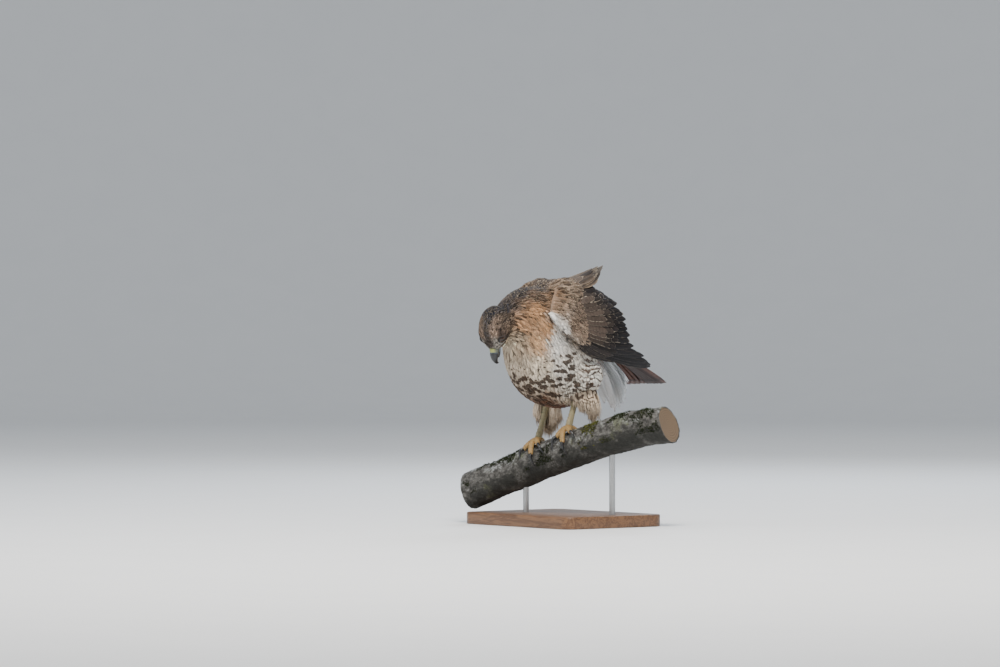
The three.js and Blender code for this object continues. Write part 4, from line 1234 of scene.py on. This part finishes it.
spines = bent(tail_spot(4 + 0 * places, 0.8), tail_spot(long * 0.5, 1.1), tail_spot(long, 1), QUILL_ROWS)
cells, size = cell_uv(TAIL_QUILLS, 4)
feathered(
    "tail_quills", red_quills, "tail_feathers", blade, spines,
    np.broadcast_to(tail_top, spines.shape), np.full(TAIL_QUILLS, TAIL_WIDTH), TAIL_SHAPE, 0.8,
    np.array(SHADED_BRICK_RED) * draw.uniform(0.65, 1.2, (TAIL_QUILLS, 1)),
    all_marks(TAIL_QUILLS, 1, 0.12, 0.3, draw),
    cells, camber=0.05, patch=size, ragged=0.06, seed=58, nodes=("tail",),
)

# Long white coverts hang from under the root of the tail, soft and loose. Their roots lie in
# rows across the rump, and they fray a little at the edges.
COVERTS = 130
COVERT_SHAPE = [0.5, 0.8, 1, 1, 1, 0.95, 0.86, 0.66, 0.2]
COVERT_WHITE = (0.86, 0.88, 0.9)
draw = np.random.default_rng(83)
wide = draw.uniform(-1, 1, COVERTS)
deep = draw.uniform(0, 2.4, COVERTS)
fall = (112 - 20 * deep) * draw.uniform(0.85, 1.05, COVERTS)
depth = 11 * deep - 5 * wide ** 2 - 6
root = np.stack([15 * wide, 102 + depth, 164 + depth * 0.3], 1)
bend = np.stack([27 * wide + 2, 134 + depth, 150 - fall * 0.1], 1)
tip = np.stack([26 * wide + 6, 158 + depth * 0.8, 168 - fall], 1) + draw.normal(0, 3, (COVERTS, 3))
spines = bent(root, bend, tip, SCAPULAR_ROWS)
up = unit(np.stack([0.45 * wide, 1 + 0 * wide, 0.3 + 0 * wide], 1) + draw.normal(0, 0.1, (COVERTS, 3)))
cells, size = cell_uv(COVERTS, 12)
feathered(
    "undertail_coverts", soft_plumage, "white_feathers", scapular_blade, spines,
    along_spines(up, SCAPULAR_ROWS), draw.uniform(15, 24, COVERTS), COVERT_SHAPE, 0.5,
    np.array(COVERT_WHITE) * draw.uniform(0.93, 1.05, (COVERTS, 1)),
    all_marks(COVERTS, 0, 0, 0, draw),
    cells, patch=size, ragged=0.16, seed=84, nodes=("undertail",),
)

# The bare shanks and toes are dull yellow skin over bone. Broad plates lap down their fronts and
# small scales cover the rest, and the toes grip the branch, one behind and three ahead.

# Each toe has its length, where it starts round the branch, its spread and its claw's size.
TOES = [(25, 0.16, 0.15, 1.2), (33, -0.12, -0.5, 1.1), (47, -0.16, 0.02, 1.0), (36, -0.12, 0.62, 0.85)]
CLAW = 26
CLAW_HEIGHTS = (5.2, 8.6, 7.4, 1.2)
SHANK_RADII = [8, 6.2, 5.4, 5.6, 7.6]
TOE_RADII = [6.4, 6, 5.4, 5.2, 4.6]
CLAW_RADII = [3.6, 3.3, 2.4, 0.5]


def plates(count, depth):
    """Each plate stands proud at its lower edge and fades out round the sides"""
    def rise(t, angle):
        facing = max(0, math.cos(angle - math.pi / 2))
        step = (t * count) % 1
        lip = swell(step, 0.1, 0.16) + 0.5 * (1 - step)
        groove = depth * 0.5 if step > 0.93 or step < 0.03 else 0
        return depth * min(1, facing * 2.2) * lip - groove * facing

    return rise


def toe_point(side, toe, reach, height):
    """A point over the bark, reach along a toe from its root"""
    _, start, spread, _ = toe
    turn = math.copysign(reach * math.cos(spread) / (BRANCH_RADIUS + height), start)
    return bark_point(side * STANCE + side * reach * math.sin(spread), start + turn, height)


leg_skin = Finish("scaled leg skin", Roughness=0.5, Subsurface_Weight=0.06, Subsurface_Scale=0.002)
scale_lines = leg_skin.cells(leg_skin.place(), 520)
skin_blots = leg_skin.grain(leg_skin.place(), 120, 3)
on_toes = leg_skin.attribute("share")
leg_tint = leg_skin.tint((0.3, 0.26, 0.15), (0.34, 0.21, 0.075), on_toes)
leg_tint = leg_skin.tint(leg_tint, (0.2, 0.14, 0.06), skin_blots.between(0.5, 0.75) * 0.5)
leg_tint = leg_skin.tint(leg_tint, (0.16, 0.11, 0.05), scale_lines.between(0.09, 0.0) * 0.6)
leg_skin.feed("Base Color", leg_tint)
leg_skin.feed("Roughness", 0.42 + skin_blots * 0.2)
leg_skin.relief(scale_lines.between(0, 0.15), 0.25)


def horn_finish(name, pale, dark):
    """Polished horn that darkens to its tip, with growth lines along it"""
    made = Finish(name, Coat_Weight=0.3, Coat_Roughness=0.2)
    toward_tip = made.attribute("share")
    lines = made.grain(made.place((400, 400, 60)), 1.6, 3)
    made.feed("Base Color", made.tint(pale, dark, toward_tip.between(0.02, 0.34) + lines * 0.1))
    made.feed("Roughness", 0.26 + lines * 0.16)
    made.relief(lines, 0.05)
    return made


def with_shares(body, values):
    """Gives each point of a bmesh the number from 0 to 1 that its finish reads"""
    layer = body.verts.layers.float.new("share")
    for v, value in zip(body.verts, values):
        v[layer] = value


black_claw = horn_finish("black claw", (0.03, 0.028, 0.026), (0.012, 0.012, 0.013))
for side, name in SIDES:
    heel, foot = heel_place(side), foot_place(side)
    middle = heel.lerp(foot, 0.5) + Vector((0, 1.5, 0))
    shank_path = [tuple(heel), tuple(middle), tuple(foot + Vector((0, 0, -2)))]
    shank = limb(shank_path, SHANK_RADII, 110, 28, (0, -1, 0), 1.12, 0, plates(12, 0.65))
    with_shares(shank, [0.0] * len(shank.verts))
    put(f"{name}_shank", to_room(shank), leg_skin, "leg_skin", f"tarsus_{name}")
    toes, claws = [], []
    for toe in TOES:
        length = toe[0]
        path = [tuple(toe_point(side, toe, length * f, 8.6 - 3.4 * f)) for f in (0, 0.34, 0.68, 1)]
        outward = toe_point(side, toe, length / 2, 30) - toe_point(side, toe, length / 2, 0)
        toes.append(limb(path, TOE_RADII, 56, 20, outward, 0.9, 0, plates(7, 0.6)))
        reaches = [length - 2 + CLAW * toe[3] * 0.86 * f / 3 for f in range(4)]
        path = [tuple(toe_point(side, toe, reach, h)) for reach, h in zip(reaches, CLAW_HEIGHTS)]
        outward = toe_point(side, toe, length, 30) - toe_point(side, toe, length, 0)
        claw = limb(path, CLAW_RADII, 30, 18, outward, 1.1)
        with_shares(claw, [0.5] * len(claw.verts))
        claws.append(claw)
    pad = [tuple(bark_point(side * STANCE, turn, 7.5)) for turn in (-0.2, 0.2)]
    toes.append(limb(pad, [6, 8, 8, 6], 24, 20, branch_up, 0.85))
    joined = join_forms(toes)
    with_shares(joined, [1.0] * len(joined.verts))
    put(f"{name}_toes", to_room(joined), leg_skin, "leg_skin", f"foot_{name}")
    claw_nodes = [f"claw_{name}_{k}" for k in range(1, 5)]
    put(f"{name}_claws", to_room(join_forms(claws)), black_claw, "horn", *claw_nodes)

# The eyes are wet and glossy over a dark brown iris and a black pupil, and sit under a ledge of
# brow. Thin dark lids are drawn round them, more from above than from below.
EYE_RADIUS = 7.5
LID_OPENING = 57
UPPER_LID = 13
LOWER_LID = 3
LID_EDGE = 100
wet_eye = Finish("wet dark eye", Roughness=0.08, Specular_IOR_Level=0.3, Coat_Weight=0.4, Coat_Roughness=0.02)
gaze = wet_eye.attribute("share")
flecks = wet_eye.grain(wet_eye.place(), 900, 3)
iris_rim = flecks.between(0.35, 0.7) * gaze.between(0.95, 0.8)
iris = wet_eye.tint((0.022, 0.011, 0.006), (0.07, 0.032, 0.014), iris_rim)
iris = wet_eye.tint(iris, (0.004, 0.004, 0.004), gaze.between(0.9, 0.915))
wet_eye.feed("Base Color", wet_eye.tint(iris, (0.01, 0.008, 0.007), gaze.between(0.74, 0.7)))
wet_eye.feed("Roughness", 0.05 + flecks * 0.05)
lid_skin = Finish("dark eyelid skin", Roughness=0.6, Specular_IOR_Level=0.15)
creases = lid_skin.grain(lid_skin.place(), 700, 3)
lid_skin.feed("Base Color", lid_skin.tint((0.012, 0.011, 0.01), (0.03, 0.026, 0.022), creases))
lid_skin.feed("Roughness", 0.5 + creases * 0.2)
lid_skin.relief(creases, 0.2)
lids = []
for side, name in SIDES:
    middle = in_head(EYE[0], side * EYE[1], EYE[2])
    gaze_axis = (head_left * side * 0.84 + head_ahead * 0.46 + head_top * 0.2).normalized()
    eyeball = bmesh.new()
    bmesh.ops.create_uvsphere(eyeball, u_segments=40, v_segments=28, radius=EYE_RADIUS)
    turned = gaze_axis.to_track_quat("Z", "Y").to_matrix()
    bmesh.ops.rotate(eyeball, matrix=turned, verts=eyeball.verts)
    facing = [v.co.normalized().dot(gaze_axis) for v in eyeball.verts]
    bmesh.ops.translate(eyeball, vec=middle, verts=eyeball.verts)
    with_shares(eyeball, facing)
    put(f"{name}_eye", to_room(eyeball), wet_eye, "eye", f"eye_{name}")
    lid = bmesh.new()
    bmesh.ops.create_grid(lid, x_segments=56, y_segments=12, size=1)
    for v in lid.verts:
        turn, out = v.co.x * math.pi, (v.co.y + 1) / 2
        sideways = gaze_axis.cross(head_ahead).normalized()
        fore = sideways.cross(gaze_axis).normalized()
        closed = UPPER_LID if math.sin(turn) * side > 0 else LOWER_LID
        opening = LID_OPENING + 8 * math.cos(turn) ** 2 - closed * math.sin(turn) ** 2
        polar = math.radians(opening + (LID_EDGE - opening) * out ** 1.3)
        shell = EYE_RADIUS + 0.15 + 0.75 * min(1, out * 7) ** 0.5
        flat = fore * math.cos(turn) + sideways * math.sin(turn)
        v.co = middle + (gaze_axis * math.cos(polar) + flat * math.sin(polar)) * shell
    bmesh.ops.remove_doubles(lid, verts=lid.verts, dist=0.01)
    bmesh.ops.recalc_face_normals(lid, faces=lid.faces)
    bmesh.ops.solidify(lid, geom=lid.faces, thickness=0.25)
    lids.append(lid)
put("eyelids", to_room(join_forms(lids)), lid_skin, "cere_skin")

# The bill is a hooked horn sheath with a shorter one below it, bluish at the base and black to
# the tip. A waxy cere of skin with the nostrils covers its root, and all three grow from the skull.
CERE_PATH = [(30, -4), (37, -3.5), (44, -4.5)]
CERE_RADII = [10.5, 9.8, 9.0, 8.2]
CERE_HALF = 9
NOSTRIL = (42.5, 8.2, -2)
NOSTRIL_REACH = 3.2
UPPER_BILL_PATH = [(38, -4), (47, -4.5), (55, -7.5), (60.5, -14), (60, -23)]
UPPER_BILL_RADII = [9, 8.7, 7.4, 5, 2.6, 0.4]
LOWER_BILL_PATH = [(30, -13), (41, -14.5), (51, -16.5)]
LOWER_BILL_RADII = [8, 7.6, 6.4, 4]


def head_path(points):
    return [tuple(in_head(ahead, 0, top)) for ahead, top in points]


def from_skull(v):
    return v.co - Vector(SKULL_CENTRE)


cere = limb(head_path(CERE_PATH), CERE_RADII, 48, 40, head_top)
for v in cere.verts:
    for side in (1, -1):
        gap = (v.co - in_head(NOSTRIL[0], side * NOSTRIL[1], NOSTRIL[2])).length
        if gap < NOSTRIL_REACH:
            v.co -= head_left * side * 1.6 * swell(gap, 0, 1.3)
            v.co += head_left * side * 0.35 * swell(gap, 2.1, 0.6)
with_shares(cere, [min(1, abs(from_skull(v).dot(head_left)) / CERE_HALF) for v in cere.verts])
waxy_cere = Finish("waxy cere", Subsurface_Weight=0.1, Subsurface_Scale=0.002, Coat_Weight=0.2)
wax = waxy_cere.grain(waxy_cere.place(), 300, 3)
# The cere is yellow green, and off its ridge it is painted dull and darker as shade.
shaded_off_ridge = waxy_cere.attribute("share")
yellow = waxy_cere.tint((0.24, 0.27, 0.06), (0.36, 0.37, 0.12), wax)
waxy_cere.feed("Base Color", waxy_cere.tint(yellow, (0.11, 0.115, 0.085), shaded_off_ridge.between(0.3, 1.0)))
waxy_cere.feed("Roughness", 0.36 + wax * 0.2)
waxy_cere.relief(wax, 0.15)
put("cere_sheath", to_room(cere), waxy_cere, "cere_skin", "cere")
bill_horn = horn_finish("bluish to black bill", (0.12, 0.145, 0.165), (0.006, 0.007, 0.009))
upper = limb(head_path(UPPER_BILL_PATH), UPPER_BILL_RADII, 72, 40, head_top)
lower = limb(head_path(LOWER_BILL_PATH), LOWER_BILL_RADII, 40, 32, head_top, 0.62)
for form, root, length in ((upper, 41, 15), (lower, 36, 16)):
    with_shares(form, [max(0, min(1, (from_skull(v).dot(head_ahead) - root) / length)) for v in form.verts])
put("upper_bill", to_room(upper), bill_horn, "horn", "bill_upper")
put("lower_bill", to_room(lower), bill_horn, "horn", "bill_lower")

# Cushions of moss grow on the bark, dark along the high end and yellow green beside the feet.
# They are short tufts, each rooted in the bark, and none grow where the bird stands.
MOSS_TUFTS = 5200
MOSS_ROWS = 2
MOSS_SHAPE = [1.0, 0.9, 0.1]
MOSS_ROOT = 0.8
MOSS_BY_FEET = 92
MOSS_HIGH = 235
DARK_MOSS = np.array((0.022, 0.028, 0.012))
YELLOW_MOSS = np.array((0.13, 0.13, 0.03))


def moss_bed(s, angle):
    """How well moss grows on a place on the branch"""
    by_feet = math.exp(-(((s - MOSS_BY_FEET) / 26) ** 2) - ((angle + 0.7) / 0.6) ** 2)
    stood_on = math.exp(-(((abs(s) - STANCE) / 34) ** 2) - (angle / 0.9) ** 2)
    patches = noise.fractal(bark_point(s, angle) * 0.022, 0.8, 2.1, 3)
    return patches + 0.35 * by_feet + (0.4 * swell(s, MOSS_HIGH, 26) - 0.9 * stood_on)


draw = np.random.default_rng(91)
roots, roots_uv, leans, moss_colours = [], [], [], []
while len(roots) < MOSS_TUFTS:
    s, angle = draw.uniform(BRANCH_LOW + 4, BRANCH_HIGH - 4), draw.uniform(-1.9, 1.5)
    if moss_bed(s, angle) < 0.16 + 0.14 * draw.random():
        continue
    outward = (bark_point(s, angle, 1) - bark_point(s, angle)).normalized()
    roots.append(bark_point(s, angle, bark_height(s, angle) - MOSS_ROOT))
    roots_uv.append(((s - BRANCH_LOW) / (BRANCH_HIGH - BRANCH_LOW), angle / math.tau + 0.5))
    leans.append(np.array(outward) + draw.normal(0, 0.45, 3))
    bright = draw.random() * swell(s, MOSS_BY_FEET, 34)
    moss_colours.append(DARK_MOSS * (1 - bright) + YELLOW_MOSS * bright)
root = numbers(roots)
leans = unit(np.array(leans))
tall = draw.uniform(2.2, 5.0, (MOSS_TUFTS, 1))
tip = root + leans * tall + draw.normal(0, 0.7, root.shape)
spines = bent(root, root + leans * tall * 0.5, tip, MOSS_ROWS)
moss = Finish("cushion moss", Roughness=0.85, Specular_IOR_Level=0.1)
damp_moss = moss.grain(moss.place(), 90, 3)
moss_tips = damp_moss.between(0.6, 0.8) * 0.5
moss.feed("Base Color", moss.tint(moss.attribute("colour", "Color"), (0.16, 0.17, 0.07), moss_tips))
moss.feed("Roughness", 0.8 + damp_moss * 0.15)
moss.relief(damp_moss, 0.4)
sideways = unit(np.cross(leans, draw.normal(0, 1, leans.shape)))
feathered(
    "branch_moss", moss, "bark", small_vane(MOSS_ROWS), spines, along_spines(sideways, MOSS_ROWS),
    draw.uniform(1.0, 2.2, MOSS_TUFTS), MOSS_SHAPE, 0.4, np.array(moss_colours),
    np.zeros((MOSS_TUFTS, 4)), np.array(roots_uv), seed=92,
)

# The model stands on a plain pale floor of paper. It is one round sheet that rises all round in a
# curve, so that no edge of it shows.
FLOOR_FLAT = 9.5
FLOOR_REACH = 13.0
FLOOR_STEPS = 12
floor = bmesh.new()
bmesh.ops.create_circle(floor, cap_ends=True, segments=96, radius=FLOOR_FLAT)
for step in range(1, FLOOR_STEPS + 1):
    turn = step / FLOOR_STEPS * math.pi / 2
    rim = [e for e in floor.edges if e.is_boundary]
    grown = bmesh.ops.extrude_edge_only(floor, edges=rim)["geom"]
    for v in (g for g in grown if isinstance(g, bmesh.types.BMVert)):
        out = Vector((v.co.x, v.co.y, 0)).normalized()
        v.co = out * (FLOOR_FLAT + (FLOOR_REACH - FLOOR_FLAT) * math.sin(turn))
        v.co.z = (FLOOR_REACH - FLOOR_FLAT) * (1 - math.cos(turn))
bmesh.ops.recalc_face_normals(floor, faces=floor.faces)
floor_mesh = bpy.data.meshes.new("studio_floor")
floor.to_mesh(floor_mesh)
floor.free()
floor_mesh.shade_smooth()
studio_floor = bpy.data.objects.new("studio_floor", floor_mesh)
bpy.context.scene.collection.objects.link(studio_floor)
paper = Finish("pale paper floor", Roughness=0.9, Specular_IOR_Level=0.1)
fibre = paper.grain(paper.place(), 6, 3)
paper.feed("Base Color", paper.tint((0.8, 0.81, 0.82), (0.84, 0.845, 0.85), fibre))
floor_mesh.materials.append(paper.material)

# The light is a studio's: a bright lamp on the bird's left, a wide dim one ahead, one behind for
# the edges, and a soft ceiling. All of them point at the middle of the photo's view.
AIM = Vector((-0.0668, -0.1074, 0.3835))
AIR_COLOUR = (0.82, 0.88, 0.95, 1)
AIR_LIGHT = 0.42
LAMPS = [
    ("key lamp", (1.9, -1.3, 3.1), 0.8, 165, (1.0, 0.94, 0.86)),
    ("fill lamp", (-1.2, -2.8, 1.5), 1.8, 26, (0.92, 0.95, 1.0)),
    ("edge lamp", (-1.6, 2.2, 2.6), 1.2, 60, (0.82, 0.9, 1.0)),
    ("ceiling lamp", (0.0, 0.0, 9.0), 9.0, 480, (0.95, 0.98, 1.0)),
]
for name, place, size, power, colour in LAMPS:
    light = bpy.data.lights.new(name, "AREA")
    light.size = size
    light.energy = power
    light.color = colour
    lamp = bpy.data.objects.new(name, light)
    bpy.context.scene.collection.objects.link(lamp)
    lamp.location = place
    lamp.rotation_euler = (AIM - Vector(place)).to_track_quat("-Z", "Y").to_euler()
world = bpy.data.worlds.new("studio air")
world.use_nodes = True
background = world.node_tree.nodes["Background"]
background.inputs["Color"].default_value = AIR_COLOUR
background.inputs["Strength"].default_value = AIR_LIGHT
bpy.context.scene.world = world

# The camera looks from the photo's side, level with the bird, through a long lens. It keeps the
# photo's framing, with the bird right of the middle.
CAMERA_DISTANCE = 8.0
CAMERA_TURN = math.radians(52)
FRAME_WIDTH = 2.0
SENSOR_WIDTH = 36
to_camera = Vector((math.sin(CAMERA_TURN), -math.cos(CAMERA_TURN), 0))
camera_data = bpy.data.cameras.new("camera")
camera_data.sensor_width = SENSOR_WIDTH
camera_data.lens = SENSOR_WIDTH * CAMERA_DISTANCE / FRAME_WIDTH
camera_data.clip_end = 60
camera = bpy.data.objects.new("camera", camera_data)
bpy.context.scene.collection.objects.link(camera)
camera.location = AIM + to_camera * CAMERA_DISTANCE
camera.rotation_euler = (-to_camera).to_track_quat("-Z", "Y").to_euler()
bpy.context.scene.camera = camera
